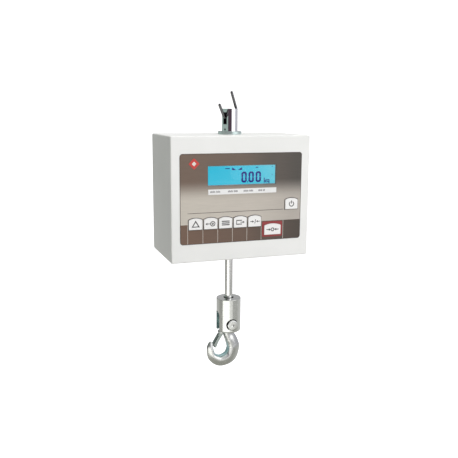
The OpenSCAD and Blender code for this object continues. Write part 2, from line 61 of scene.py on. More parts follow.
def up(height):
    """A height in millimetres above the cabinet's bottom, as a frame Z in metres."""
    return BASE + height * MM


# ---- camera and stage

CAMERA_AT = Vector((-0.3586, -1.0154, up(246.0)))
CAMERA_YAW = math.radians(-19.45)
CAMERA_PITCH = math.radians(10.87)
CAMERA_ROLL = math.radians(0.39)
CAMERA_LENS = 49.26


def add_camera():
    data = bpy.data.cameras.new("camera")
    data.sensor_width = 36
    data.lens = CAMERA_LENS
    camera = bpy.data.objects.new("camera", data)
    level = Matrix.Rotation(CAMERA_YAW, 4, "Z") @ Matrix.Rotation(math.pi / 2 - CAMERA_PITCH, 4, "X")
    camera.matrix_world = Matrix.Translation(CAMERA_AT + AXIS) @ level @ Matrix.Rotation(CAMERA_ROLL, 4, "Z")
    bpy.context.collection.objects.link(camera)
    bpy.context.scene.camera = camera


add_camera()

# ---- materials

class Tree:
    """A short way to write a node tree: each call adds one node and returns its output."""

    def __init__(self, owner):
        owner.use_nodes = True
        self.nodes, self.links = owner.node_tree.nodes, owner.node_tree.links
        self.nodes.clear()

    def feed(self, socket, value):
        if isinstance(value, bpy.types.NodeSocket):
            self.links.new(value, socket)
        elif isinstance(value, (tuple, list)) and len(value) == 3 and len(socket.default_value) == 4:
            socket.default_value = (*value, 1)
        else:
            socket.default_value = value

    def node(self, kind, inputs=None, output=0, **settings):
        node = self.nodes.new(kind)
        for key, value in settings.items():
            setattr(node, key, value)
        for key, value in (inputs or {}).items():
            self.feed(node.inputs[key], value)
        return node.outputs[output]

    def math(self, operation, a, b=0.0):
        return self.node("ShaderNodeMath", {0: a, 1: b}, operation=operation)

    def vector(self, operation, a, b=(0, 0, 0), output=0):
        return self.node("ShaderNodeVectorMath", {0: a, 1: b}, output, operation=operation)

    def span(self, value, low, high, to_low=0.0, to_high=1.0, kind="LINEAR"):
        return self.node("ShaderNodeMapRange", {
            "Value": value, "From Min": low, "From Max": high, "To Min": to_low, "To Max": to_high},
            interpolation_type=kind)

    def mix(self, amount, a, b):
        return self.node("ShaderNodeMix", {0: amount, 6: a, 7: b}, output=2, data_type="RGBA")


class Nodes(Tree):
    """The node tree of a new material."""

    def __init__(self, name):
        self.material = bpy.data.materials.new(name)
        super().__init__(self.material)
        out = self.nodes.new("ShaderNodeOutputMaterial")
        self.shader = self.nodes.new("ShaderNodeBsdfPrincipled")
        self.feed(out.inputs["Surface"], self.shader.outputs[0])
        self.place = self.node("ShaderNodeTexCoord", output="Object")

    def set(self, **values):
        for name, value in values.items():
            self.feed(self.shader.inputs[name.replace("_", " ").title().replace("Ior", "IOR")], value)

    def stretch(self, scale):
        return self.node("ShaderNodeMapping", {"Vector": self.place, "Scale": scale})

    def noise(self, scale, detail=3, rough=0.5, place=None, warp=0.0):
        return self.node("ShaderNodeTexNoise", {
            "Vector": place or self.place, "Scale": scale, "Detail": detail, "Roughness": rough,
            "Distortion": warp})

    def ramp(self, value, *stops):
        """A colour that changes with a value, from (position, colour) stops."""
        node = self.nodes.new("ShaderNodeValToRGB")
        node.color_ramp.interpolation = "EASE"
        elements = node.color_ramp.elements
        while len(elements) < len(stops):
            elements.new(0.5)
        for element, (at, color) in zip(elements, stops):
            element.position = at
            element.color = (*color, 1)
        self.feed(node.inputs[0], value)
        return node.outputs[0]

    def blend(self, a, b, share):
        """The sum of two values, the second weighed by a share and the first by the rest."""
        return self.math("ADD", self.math("MULTIPLY", a, 1 - share), self.math("MULTIPLY", b, share))

    def bump(self, height, strength, distance):
        """Adds the relief and gives the finished material."""
        self.set(normal=self.node("ShaderNodeBump", {
            "Height": height, "Strength": strength, "Distance": distance}))
        return self.material

    def axis(self, which):
        return self.node("ShaderNodeSeparateXYZ", {0: self.place}, which)


def grey(value):
    return (value, value, value)


def scaled(color, share):
    return tuple(share * v for v in color)


# ---- masks: one inside a region, else zero. They place painted shade and painted teal reflections.

BOSS_ANGLE = math.radians(16)
PIN_HEIGHT = -130


def all_of(m, *masks):
    both = masks[0]
    for mask in masks[1:]:
        both = m.math("MULTIPLY", both, mask)
    return both


def between(m, value, low, high):
    """Where a value is between two others, given in millimetres."""
    return all_of(m, m.math("GREATER_THAN", value, low * MM), m.math("LESS_THAN", value, high * MM))


def from_line(m, a, b):
    """The distance from the line where two coordinates are zero."""
    return m.math("SQRT", m.math("ADD", m.math("MULTIPLY", a, a), m.math("MULTIPLY", b, b)))


def places(m, height):
    """Coordinates from a point on the load's axis, at a height in millimetres."""
    return [m.math("SUBTRACT", m.axis(k), zero) for k, zero in enumerate((AXIS.x, AXIS.y, up(height)))]


# The inside of the boss's slot, where the chrome gets painted shade.
def in_boss_slot(m):
    aside = m.vector("DOT_PRODUCT", m.vector("SUBTRACT", m.place, AXIS),
                     (-math.sin(BOSS_ANGLE), math.cos(BOSS_ANGLE), 0), output=1)
    return all_of(m, between(m, aside, -5.05, 5.05), between(m, places(m, 220)[2], 0, 20))


def beside_bolt(m, least, most, low, high):
    """The upper left part of a ring about the clevis bolt, where its head throws a shadow."""
    x, y, z = places(m, PIN_HEIGHT)
    upper_left = m.math("GREATER_THAN", m.math("SUBTRACT", z, x), -4 * MM)
    return all_of(m, between(m, from_line(m, x, z), least, most), between(m, y, low, high), upper_left)


# The upper left side of the bolt head, where the bolt steel gets painted shade.
def on_bolt_head(m):
    return beside_bolt(m, 8.95, 12, -22.6, -17)


def in_clevis_slot(m, low, high):
    x, y, z = places(m, PIN_HEIGHT)
    fork = all_of(m, between(m, y, -8.7, 8.7), between(m, z, low, high))
    return all_of(m, between(m, from_line(m, x, y), -1, 21.4), fork)


# The inner walls of the fork slot, where the clevis steel gets a painted teal reflection.
def on_clevis_cheeks(m):
    return in_clevis_slot(m, -14.8, 17)


def in_clevis_wells(m):
    """The arch of the slot, the recess round the rod and the bolt head's counterbore, where the clevis steel
    gets painted shade.
    """
    x, y, z = places(m, PIN_HEIGHT)
    recess = all_of(m, between(m, from_line(m, x, y), -1, 9.1), between(m, z, 31, 50))
    wells = m.math("MAXIMUM", in_clevis_slot(m, 17, 31), recess)
    return m.math("MAXIMUM", wells, beside_bolt(m, -1, 10.7, -30, -17.5))


# ---- kinds of material


def powder_coat():
    """Warm white powder coat: a fine orange peel, with slightly uneven tone and gloss."""
    m = Nodes("powder_coat")
    cloud = m.noise(9, 3)
    peel = m.noise(900, 2, 0.55)
    coarse = m.noise(260, 2, 0.5)
    m.set(base_color=m.ramp(cloud, (0.3, (0.80, 0.805, 0.775)), (0.7, (0.85, 0.852, 0.825))),
          roughness=m.span(coarse, 0.3, 0.7, 0.40, 0.52), specular_ior_level=0.5)
    return m.bump(m.math("ADD", peel, m.math("MULTIPLY", coarse, 0.8)), 0.35, 0.00012)


def chrome(name, tone, rough_low, rough_high, painted_shade_mask=None):
    """Polished plate with faint haze and hairline wear, and painted shade where a mask says."""
    m = Nodes(name)
    haze = m.noise(45, 4, 0.6)
    hair = m.noise(600, 3, 0.6, place=m.stretch((1, 1, 0.08)))
    color = m.ramp(haze, (0.3, grey(tone * 0.94)), (0.7, grey(tone)))
    rough = m.span(haze, 0.35, 0.7, rough_low, rough_high)
    if painted_shade_mask:
        mask = painted_shade_mask(m)
        color = m.mix(mask, color, PAINTED_SHADE)
        rough = m.math("ADD", rough, m.math("MULTIPLY", mask, 0.35))
    m.set(base_color=color, metallic=1.0, roughness=rough)
    return m.bump(hair, 0.05, 0.00004)


def turned_steel(name, tint, rough, grain=(1, 1, 60), scratch=0.12, painted_shade_mask=None, teal=None):
    """Machined steel: tool marks that run round the part, a cloudy oil film, painted shade where one mask
    says and a painted teal reflection where another says.
    """
    m = Nodes(name)
    lines = m.noise(90, 4, 0.7, place=m.stretch(grain))
    film = m.noise(28, 4, 0.6, warp=0.4)
    color = m.ramp(m.blend(lines, film, 0.6), (0.35, scaled(tint, 0.9)), (0.65, tint))
    metal = 1.0
    # A painted teal reflection, with less metal to it, where the mask says.
    if teal:
        mask = teal(m)
        color = m.mix(mask, color, CHEEK_TEAL_REFLECTION)
        metal = m.math("SUBTRACT", 1.0, m.math("MULTIPLY", mask, 0.5))
    if painted_shade_mask:
        color = m.mix(painted_shade_mask(m), color, PAINTED_SHADE)
    m.set(base_color=color, metallic=metal, roughness=m.span(film, 0.3, 0.7, rough - 0.03, rough + 0.05))
    return m.bump(lines, scratch, 0.00003)


def zinc_steel(name, tint, rough):
    """Zinc plated steel: a fine crystalline mottling over a slightly dull sheen."""
    m = Nodes(name)
    crystal = m.node("ShaderNodeTexVoronoi", {"Vector": m.place, "Scale": 420})
    film = m.noise(60, 4, 0.65, warp=0.3)
    m.set(base_color=m.ramp(film, (0.3, scaled(tint, 0.78)), (0.7, tint)), metallic=1.0,
          roughness=m.span(crystal, 0.0, 0.9, rough - 0.05, rough + 0.08))
    return m.bump(m.math("ADD", crystal, film), 0.08, 0.00005)


def forged_steel(name, tint, rough, bowl):
    """Plated forging: soft hammered undulation under a fine grain, with a painted pale teal reflection, and
    less metal, on the faces turned towards its bowl.
    """
    m = Nodes(name)
    # A painted reflection: faces turned towards the bowl's middle take a pale teal.
    inward = m.vector("NORMALIZE", m.vector("MULTIPLY", m.vector("SUBTRACT", bowl, m.place), (1, 0, 1)))
    facing = m.vector("DOT_PRODUCT", inward, m.place.node.outputs["Normal"], output=1)
    bowl_reflection = m.span(facing, 0.62, 0.97)
    swell = m.noise(38, 2, 0.5)
    grain = m.noise(700, 3, 0.6)
    film = m.noise(22, 4, 0.6, warp=0.5)
    plated = m.ramp(film, (0.3, scaled(tint, 0.74)), (0.68, tint))
    m.set(base_color=m.mix(bowl_reflection, plated, BOWL_TEAL_REFLECTION),
          metallic=m.math("SUBTRACT", 1.0, m.math("MULTIPLY", bowl_reflection, 0.6)),
          roughness=m.span(m.blend(film, grain, 0.4), 0.3, 0.7, rough - 0.05, rough + 0.1))
    return m.bump(m.math("ADD", swell, m.math("MULTIPLY", grain, 0.06)), 0.14, 0.0006)


def plastic(name, color, rough=0.35, mottle=0.06, **more):
    """Moulded plastic or print: slight tone variation and a fine surface texture."""
    m = Nodes(name)
    fine = m.noise(900, 2)
    m.set(base_color=m.ramp(m.noise(55, 3), (0.3, scaled(color, 1 - mottle)), (0.7, color)),
          roughness=m.span(fine, 0.3, 0.7, rough - 0.05, rough + 0.06), **more)
    return m.bump(fine, 0.12, 0.00003)


def rubber(name="black_rubber", color=(0.035, 0.035, 0.036)):
    """Matt rubber with a little dust."""
    m = Nodes(name)
    dust = m.noise(70, 4, 0.6)
    fine = m.noise(1200, 2)
    m.set(base_color=m.ramp(dust, (0.35, color), (0.75, scaled(color, 1.8))),
          roughness=m.span(dust, 0.3, 0.7, 0.6, 0.8))
    return m.bump(fine, 0.2, 0.00005)


# ---- mesh helpers

def mesh_of(bm, name="blank"):
    """A mesh with its faces turned outwards. The bmesh is used up."""
    bmesh.ops.recalc_face_normals(bm, faces=bm.faces)
    mesh = bpy.data.meshes.new(name)
    bm.to_mesh(mesh)
    bm.free()
    return mesh


def piece(name, shape, material, body="scale_body", smooth=True, sharp=35):
    """A new object, drawn about the load's axis, that rides on a CAD body: the cabinet, unless told."""
    mesh = mesh_of(shape, name) if isinstance(shape, bmesh.types.BMesh) else shape
    if smooth:
        mesh.shade_smooth()
        mesh.set_sharp_from_angle(angle=math.radians(sharp))
    mesh.materials.clear()
    mesh.materials.append(material)
    mesh.transform(Matrix.Translation(AXIS))
    made = bpy.data.objects.new(name, mesh)
    bpy.context.collection.objects.link(made)
    if smooth:
        shade = made.modifiers.new("even_shading", "WEIGHTED_NORMAL")
        shade.keep_sharp = True
        shade.weight = 60
    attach(made, body)
    return made


def stands_for(node):
    """Hides a CAD node behind the piece that stands for it."""
    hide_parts(node)


def bake(obj):
    """Gives an object the mesh that its modifiers make."""
    bpy.context.view_layer.update()
    graph = bpy.context.evaluated_depsgraph_get()
    mesh = bpy.data.meshes.new_from_object(obj.evaluated_get(graph))
    obj.modifiers.clear()
    obj.data = mesh
    return obj


def loose(bm):
    """A scratch object, used as a cutter or a blank and then deleted."""
    made = bpy.data.objects.new("blank", mesh_of(bm))
    bpy.context.collection.objects.link(made)
    return made


def combine(blank, shapes, operation="DIFFERENCE"):
    """Cuts shapes from a blank, or joins them to it."""
    tools = [loose(shape) if isinstance(shape, bmesh.types.BMesh) else shape for shape in shapes]
    for tool in tools:
        step = blank.modifiers.new("step", "BOOLEAN")
        step.object = tool
        step.operation = operation
        step.solver = "EXACT"
    bake(blank)
    for tool in tools:
        bpy.data.objects.remove(tool, do_unlink=True)
    return blank


def soften(obj, width, segments=3, angle=35):
    step = obj.modifiers.new("edge", "BEVEL")
    step.width = width
    step.segments = segments
    step.limit_method = "ANGLE"
    step.angle_limit = math.radians(angle)
    step.harden_normals = False
    step.miter_outer = "MITER_ARC"
    return bake(obj)


def finished(name, blank, material, body="scale_body", edge=0.0, segments=3, sharp=35):
    """Turns a scratch solid into a piece, with its edges rounded first."""
    if edge:
        soften(blank, edge, segments)
    mesh = blank.data
    bpy.data.objects.remove(blank, do_unlink=True)
    mesh.name = name
    return piece(name, mesh, material, body, sharp=sharp)


def block(low, high):
    bm = bmesh.new()
    bmesh.ops.create_cube(bm, size=1)
    size = Vector(high) - Vector(low)
    middle = (Vector(high) + Vector(low)) / 2
    bmesh.ops.transform(bm, matrix=Matrix.Translation(middle) @ Matrix.Diagonal((*size, 1)), verts=bm.verts)
    return bm


def wall(bm, near, far):
    """Faces between two closed loops with the same number of corners."""
    for k in range(len(near)):
        nxt = (k + 1) % len(near)
        bm.faces.new((near[k], near[nxt], far[nxt], far[k]))


def prism(outline, low_y, high_y):
    """A closed solid from an outline of (x, z) points, between two Y planes."""
    bm = bmesh.new()
    near = [bm.verts.new((x, low_y, z)) for x, z in outline]
    far = [bm.verts.new((x, high_y, z)) for x, z in outline]
    bm.faces.new(near)
    bm.faces.new(far[::-1])
    wall(bm, near, far)
    return bm


QUARTER = [math.radians(a) for a in (0, 15, 30, 45, 60, 75, 90)]
AXES = {"X": Matrix.Rotation(math.radians(90), 4, "Y"), "Y": Matrix.Rotation(math.radians(-90), 4, "X"),
        "Z": Matrix.Identity(4)}


def circle(radius, steps=32, start=0.0, end=math.tau):
    count = steps if abs(end - start) >= math.tau else steps + 1
    angles = [start + (end - start) * k / steps for k in range(count)]
    return [(radius * math.cos(angle), radius * math.sin(angle)) for angle in angles]


def lathe(profile, axis="Z", at=(0, 0, 0), sides=96):
    """A closed turned solid. The profile is (radius, height) points; ends on the axis close it."""
    bm = bmesh.new()
    rings = []
    for radius, height in profile:
        if radius < 1e-9:
            rings.append([bm.verts.new((0, 0, height))])
        else:
            rings.append([bm.verts.new((x, y, height)) for x, y in circle(radius, sides)])
    pairs = list(zip(rings, rings[1:]))
    if len(rings[0]) > 1 and len(rings[-1]) > 1:
        pairs.append((rings[-1], rings[0]))
    for below, above in pairs:
        for k in range(sides):
            nxt = (k + 1) % sides
            corners = [below[k % len(below)], below[nxt % len(below)],
                       above[nxt % len(above)], above[k % len(above)]]
            face = list(dict.fromkeys(corners))
            if len(face) > 2:
                bm.faces.new(face)
    bmesh.ops.transform(bm, matrix=Matrix.Translation(at) @ AXES[axis], verts=bm.verts)
    return bm


def cylinder(radius, low, high, axis="Z", at=(0, 0, 0), sides=64):
    """A closed round bar from low to high along its axis."""
    return lathe([(0, low), (radius, low), (radius, high), (0, high)], axis, at, sides)


def upright(outline, at=(0, 0, 0), sides=96):
    """A solid turned about an upright axis, from (radius, height) points in millimetres."""
    return lathe([(radius * MM, up(height)) for radius, height in outline], at=at, sides=sides)


def crosswise(outline, at, sides):
    """A solid turned about an axis along Y, from (radius, y) points in millimetres."""
    return lathe([(radius * MM, y * MM) for radius, y in outline], "Y", at, sides)


def lower_edge(radius, foot, edge):
    """The rounded lower edge of a turned solid."""
    return [(radius - edge + edge * math.sin(t), foot + edge - edge * math.cos(t)) for t in QUARTER]


def upper_edge(radius, top, edge):
    return [(radius - edge + edge * math.cos(t), top - edge + edge * math.sin(t)) for t in QUARTER]


def fillet(before, corner, after, radius, steps):
    """Points of an arc-like curve that rounds one corner."""
    c = Vector(corner)
    to_before = Vector(before) - c
    to_after = Vector(after) - c
    reach = min(radius, to_before.length * 0.49, to_after.length * 0.49)
    a = c + to_before.normalized() * reach
    b = c + to_after.normalized() * reach
    return [tuple(a * (1 - t) ** 2 + c * 2 * t * (1 - t) + b * t ** 2)
            for t in (i / steps for i in range(steps + 1))]


def rounded(outline, radius, steps=5):
    """Rounds every corner of a closed outline."""
    made = []
    for k, corner in enumerate(outline):
        made += fillet(outline[k - 1], corner, outline[(k + 1) % len(outline)], radius, steps)
    return made


def rectangle(low_x, high_x, low_z, high_z):
    return [(low_x, low_z), (high_x, low_z), (high_x, high_z), (low_x, high_z)]


def around_box(corners, grow=0.0, radius=0.0, steps=5):
    """The outline of a box seen from the front, grown on every side, with rounded corners."""
    low, high = corners
    outline = rectangle(low.x - grow, high.x + grow, low.z - grow, high.z + grow)
    return rounded(outline, radius, steps) if radius else outline


def plate(corners, radius=0.0, steps=5):
    """A box as a blank with rounded upright edges, as seen from the front."""
    return loose(prism(around_box(corners, 0, radius, steps), corners[0].y, corners[1].y))


def smooth_path(points, steps):
    """A Catmull-Rom curve through the points, each a tuple of any length."""
    made = []
    count = len(points)
    for k in range(count - 1):
        a, b = points[max(k - 1, 0)], points[k]
        c, d = points[k + 1], points[min(k + 2, count - 1)]
        for s in range(steps):
            t = s / steps
            made.append(tuple(
                0.5 * (2 * q + (r - p) * t + (2 * p - 5 * q + 4 * r - w) * t * t
                       + (3 * q - p - 3 * r + w) * t ** 3)
                for p, q, r, w in zip(a, b, c, d)))
    made.append(tuple(points[-1]))
    return made


def skin(rings):
    """A closed solid over rings of points, with a flat cap at each end."""
    bm = bmesh.new()
    made = [[bm.verts.new(point) for point in points] for points in rings]
    for low, high in zip(made, made[1:]):
        wall(bm, low, high)
    bm.faces.new(made[0][::-1])
    bm.faces.new(made[-1])
    return bm


def tube(points, radius, sides):
    """A round wire with round ends along points in space."""
    stations = []
    for k, at in enumerate(points):
        way = (points[min(k + 1, len(points) - 1)] - points[max(k - 1, 0)]).normalized()
        stations.append((at, way, radius))
    starts, ends = [], []
    for t in (math.radians(a) for a in (15, 32, 50, 68, 85)):
        for cap, (at, way, _), sign in ((starts, stations[0], -1), (ends, stations[-1], 1)):
            cap.append((at + sign * radius * math.sin(t) * way, way, radius * math.cos(t)))
    rings = []
    for at, way, r in starts[::-1] + stations + ends:
        side = way.cross(Vector((0.05, 1, 0.07))).normalized()
        over = side.cross(way)
        rings.append([at + r * (c * side + s * over) for c, s in circle(1, sides)])
    return skin(rings)


def dress(node, material):
    """Gives a carried-over CAD node its material."""
    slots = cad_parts[node].data.materials
    if not slots:
        slots.append(material)
    for k in range(len(slots)):
        slots[k] = material


# ---- the materials of this scale

def linear(red, green, blue):
    """A screen colour, 0 to 255, as linear light."""
    return tuple(v / 255 / 12.92 if v <= 10 else ((v / 255 + 0.055) / 1.055) ** 2.4
                 for v in (red, green, blue))


BAND_TOP = 62.6
FADE_LOW, FADE_HIGH = 99, 134


def panel_print():
    """Metallic print: brown at the top, fading to beige, with a brown band along the foot."""
    m = Nodes("panel_print")
    height = m.axis(2)
    across = m.span(m.axis(0), -0.105, 0.105)
    brushed = m.noise(700, 3, 0.6, place=m.stretch((0.05, 1, 1)))
    cloud = m.noise(30, 3)
    brown = m.ramp(across, (0.0, linear(113, 96, 84)), (0.45, linear(107, 93, 83)),
                   (0.75, linear(89, 82, 76)), (1.0, linear(78, 74, 69)))
    beige = m.ramp(across, (0.0, linear(197, 190, 178)), (0.5, linear(194, 187, 176)),
                   (1.0, linear(178, 171, 162)))
    fade = m.ramp(m.span(height, up(FADE_LOW), up(FADE_HIGH)), (0.0, grey(0)), (1.0, grey(1)))
    body = m.mix(fade, beige, brown)
    band_brown = m.vector("MULTIPLY", brown, (0.98, 0.88, 0.83))
    banded = m.mix(m.math("LESS_THAN", height, up(BAND_TOP)), body, band_brown)
    shade = m.span(m.blend(brushed, cloud, 0.3), 0.3, 0.7, 0.94, 1.05)
    tinted = m.node("ShaderNodeVectorMath", {0: banded, "Scale": shade}, operation="SCALE")
    m.set(base_color=tinted, specular_ior_level=0.25, roughness=m.span(cloud, 0.3, 0.7, 0.46, 0.56))
    return m.bump(brushed, 0.05, 0.00002)


def display_blue():
    """Backlit display: a cyan glow, paler to the right."""
    m = Nodes("lcd_blue")
    cloud = m.noise(14, 2)
    glow = m.ramp(m.span(m.axis(0), -0.062, 0.062),
                  (0.0, linear(52, 198, 226)), (0.5, linear(66, 202, 228)), (1.0, linear(104, 210, 228)))
    m.set(base_color=linear(10, 60, 84), roughness=m.span(cloud, 0.3, 0.7, 0.35, 0.45), emission_color=glow,
          emission_strength=0.87)
    return m.bump(m.noise(1500, 1), 0.05, 0.00002)


def clear_window():
    """Acrylic with faint smears."""
    m = Nodes("clear_window")
    smear = m.noise(40, 4, 0.6)
    m.set(base_color=(0.93, 0.98, 1.0), ior=1.3, specular_ior_level=0.3, transmission_weight=1.0,
          roughness=m.span(smear, 0.4, 0.7, 0.0, 0.03))
    return m.bump(smear, 0.03, 0.00002)


# Painted shade: a near-black laid where shade falls, in the boss's slot, the clevis's recesses and on the
# bolt head's upper left side.
PAINTED_SHADE = (0.055, 0.055, 0.06)
# A painted teal reflection for the inner walls of the clevis fork.
CHEEK_TEAL_REFLECTION = (0.30, 0.47, 0.46)
# A painted pale teal reflection for the hook's faces that turn towards its bowl.
BOWL_TEAL_REFLECTION = (0.42, 0.64, 0.65)
POWDER = powder_coat()
CHROME = chrome("chrome", 0.80, 0.03, 0.09, in_boss_slot)
SATIN = zinc_steel("satin_plate", (0.56, 0.66, 0.64), 0.32)
WIRE = chrome("chrome_wire", 0.12, 0.14, 0.26)
ZINC = zinc_steel("zinc_steel", (0.66, 0.67, 0.66), 0.34)
BLACK_STEEL = zinc_steel("black_steel", (0.09, 0.09, 0.095), 0.38)
ROD = turned_steel("rod_steel", (0.74, 0.74, 0.72), 0.15, scratch=0.04)
# The clevis steel gets painted shade in its recesses and a painted teal reflection on its fork's inner walls.
# The bolt gets painted shade on its head's upper left side.
CLEVIS = turned_steel("clevis_steel", (0.70, 0.71, 0.68), 0.2, scratch=0.04, painted_shade_mask=in_clevis_wells,
                      teal=on_clevis_cheeks)
PIN = turned_steel("pin_steel", (0.82, 0.83, 0.80), 0.22, (1, 60, 1), painted_shade_mask=on_bolt_head)
FORGED = forged_steel("forged_steel", (0.72, 0.73, 0.70), 0.22, (AXIS.x - 13 * MM, AXIS.y, up(-180)))
LATCH = zinc_steel("latch_steel", (0.47, 0.53, 0.50), 0.3)
SPRING = turned_steel("spring_steel", (0.5, 0.5, 0.5), 0.3)
TINNED = zinc_steel("tinned_frame", (0.6, 0.6, 0.6), 0.3)
CELL = turned_steel("cell_steel", (0.6, 0.6, 0.62), 0.3, grain=(60, 1, 1))
BRONZE = turned_steel("bronze_washer", (0.62, 0.42, 0.2), 0.32)
PRINT = panel_print()
DISPLAY = display_blue()
GLASS = clear_window()
WINDOW_EDGE_TEAL = plastic("window_edge_ring", linear(36, 104, 112), 0.5)
KEY_WHITE = plastic("key_white", linear(238, 237, 234), 0.34, 0.02)
KEY_LINE = plastic("key_outline", linear(58, 54, 50), 0.5)
PRINT_BLACK = plastic("print_black", linear(34, 32, 32), 0.5)
PRINT_LINE = plastic("print_light", linear(198, 190, 180), 0.45)
# Dark print for the panel's rule, and painted shade for the ring round the panel's edge.
DARK_PRINT_AND_SHADE = plastic("dark_print_and_shade", linear(66, 58, 54), 0.45)
SEGMENT = plastic("lcd_ink", linear(30, 24, 150), 0.5, emission_color=linear(44, 30, 150),
                  emission_strength=0.25)
LABEL = plastic("label_white", linear(232, 232, 230), 0.45, 0.03)
LABEL_GREY = plastic("label_grey", linear(128, 126, 128), 0.5)
BADGE = plastic("badge_red", linear(196, 52, 44), 0.35)
BADGE_PALE = plastic("badge_pale", linear(226, 222, 212), 0.35)
FRAME_RED = plastic("frame_red", linear(140, 48, 48), 0.42)
RUBBER = rubber()
SEAL = rubber("grey_seal", (0.42, 0.42, 0.41))
CABLE = rubber("cable_black", (0.03, 0.03, 0.032))
BOARD = plastic("board_green", (0.02, 0.16, 0.07), 0.3, 0.15)
CHIP = plastic("chip_black", (0.03, 0.03, 0.032), 0.45)
CONNECTOR = plastic("connector_white", (0.75, 0.73, 0.66), 0.4)
CASE = plastic("battery_case", (0.1, 0.105, 0.115), 0.42)
LEAD = plastic("lead_red", (0.48, 0.03, 0.03), 0.38)
SOCKET = plastic("socket_black", (0.03, 0.03, 0.03), 0.3)

# ---- sizes shared by the pieces

WALL = 2 * MM
EDGE = 2 * MM
COVER = box("rear_cover")
PANEL = box("front_panel")
WINDOW = box("lcd_window")
FLANGE_LOW, FLANGE_HIGH = box("top_flange")
OPENING_PLAY = 0.2 * MM
KEYS = ["key_1", "key_2", "key_3", "key_4", "key_5", "zero_key", "power_key"]
KEY_FLANGE = 1 * MM
KEY_GAP = 0.25 * MM
KEY_ARCH = 3 * MM
BOSS_TURN = Matrix.Rotation(BOSS_ANGLE, 4, "Z")


def key_outline(name, grow=0.0):
    """A key cap's outline: straight sides and an arched top."""
    low, high = box(name)
    half = (high.x - low.x) / 2 - KEY_FLANGE + grow
    middle = (high.x + low.x) / 2
    foot = low.z + KEY_FLANGE - grow
    top = high.z - KEY_FLANGE + grow
    radius = (half ** 2 + KEY_ARCH ** 2) / (2 * KEY_ARCH)
    reach = math.asin(half / radius)
    steps = 14
    arch = [(middle + radius * math.sin(reach * (1 - 2 * k / steps)),
             top - radius + radius * math.cos(reach * (1 - 2 * k / steps))) for k in range(steps + 1)]
    return [(middle - half, foot), (middle + half, foot)] + arch


# ---- cabinet

BOSS_HOLE_R, GROMMET_HOLE_R, JACK_HOLE_R = 10.2 * MM, 11 * MM, 5.7 * MM
POST_R, POST_BORE_R, POST_LENGTH = 4.5 * MM, 2.1 * MM, 14 * MM
JACK_AT = sum(box("charger_jack"), Vector()) / 2


def front_openings(near, far):
    """Cutters for the display's window and the keys."""
    outlines = [around_box(WINDOW, OPENING_PLAY)] + [key_outline(key, KEY_GAP) for key in KEYS]
    return [prism(outline, near, far) for outline in outlines]


def make_casing():
    bm = block(LOW, HIGH)
    at_back = [e for e in bm.edges if all(abs(v.co.y - HIGH.y) < 1e-6 for v in e.verts)]
    bmesh.ops.bevel(bm, geom=[e for e in bm.edges if e not in at_back], offset=EDGE, segments=8,
                    profile=0.5, affect="EDGES", clamp_overlap=True)
    shell = loose(bm)
    inside_low = Vector((LOW.x + WALL, LOW.y + WALL, LOW.z + WALL))
    inside_high = Vector((HIGH.x - WALL, HIGH.y + WALL, HIGH.z - WALL))
    tools = [block(inside_low, inside_high)] + front_openings(LOW.y - WALL, LOW.y + 2 * WALL)
    tools.append(cylinder(BOSS_HOLE_R, HIGH.z - 2 * WALL, HIGH.z + 2 * WALL))
    tools.append(cylinder(GROMMET_HOLE_R, up(-4), up(4)))
    tools.append(cylinder(JACK_HOLE_R, up(-4), up(4), at=(JACK_AT.x, JACK_AT.y, 0), sides=48))
    combine(shell, tools)
    profile = [(POST_R, HIGH.y - POST_LENGTH), (POST_R, HIGH.y), (POST_BORE_R, HIGH.y),
               (POST_BORE_R, HIGH.y - POST_LENGTH)]
    posts = [mesh_of(lathe(profile, axis="Y", at=(x, 0, z), sides=32)) for x, z in SCREWS]
    shell.data = join_meshes([shell.data] + posts)
    made = finished("casing_shell", shell, POWDER, sharp=30)
    stands_for("front_casing")


def join_meshes(meshes):
    bm = bmesh.new()
    for mesh in meshes:
        bm.from_mesh(mesh)
    joined = bpy.data.meshes.new("joined")
    bm.to_mesh(joined)
    bm.free()
    return joined


SCREW_INSET = 9 * MM
SCREWS = [(x * (HIGH.x - SCREW_INSET), z) for x in (-1, 1)
          for z in (LOW.z + SCREW_INSET, (LOW.z + HIGH.z) / 2, HIGH.z - SCREW_INSET)]
SCREWS += [(0, LOW.z + SCREW_INSET), (0, HIGH.z - SCREW_INSET)]


def make_rear_cover():
    made = finished("rear_lid", plate(COVER, 1.7 * EDGE, 8), POWDER, edge=0.9 * MM, segments=4)
    stands_for("rear_cover")


def make_cover_screws():
    """Pan-headed screws with a crossed recess."""
    head_r, head_h = 4 * MM, 2.6 * MM
    back = COVER[1].y
    meshes = []
    for k, (x, z) in enumerate(SCREWS):
        profile = [(0, back - 12 * MM), (1.9 * MM, back - 12 * MM), (1.9 * MM, back), (head_r, back)]
        profile += [(head_r * math.cos(t), back + head_h * (0.35 + 0.65 * math.sin(t)))
                    for t in (math.radians(a) for a in (0, 18, 36, 54, 72))]
        profile.append((0, back + head_h))
        screw = loose(lathe(profile, axis="Y", sides=40))
        arms = [block((-2.1 * MM, back + 1.3 * MM, -0.45 * MM), (2.1 * MM, back + 4 * MM, 0.45 * MM))
                for _ in range(2)]
        for arm, turn in zip(arms, (0.7 * k, 0.7 * k + math.pi / 2)):
            bmesh.ops.transform(arm, matrix=Matrix.Rotation(turn, 4, "Y"), verts=arm.verts)
        combine(screw, arms)
        screw.data.transform(Matrix.Translation((x, 0, z)))
        meshes.append(screw.data)
        bpy.data.objects.remove(screw, do_unlink=True)
    made = piece("lid_screws", join_meshes(meshes), ZINC)
    stands_for("cover_screws")


make_casing()
make_rear_cover()
make_cover_screws()


# ---- front panel, display and keys

PANEL_FACE = PANEL[0].y
PANEL_CORNER = 5.5 * MM
PRINT_T = 0.03 * MM
UPRIGHTS = (-93, -67.5, -42.2, -16.8, 8.6, 34.1, 73.6)


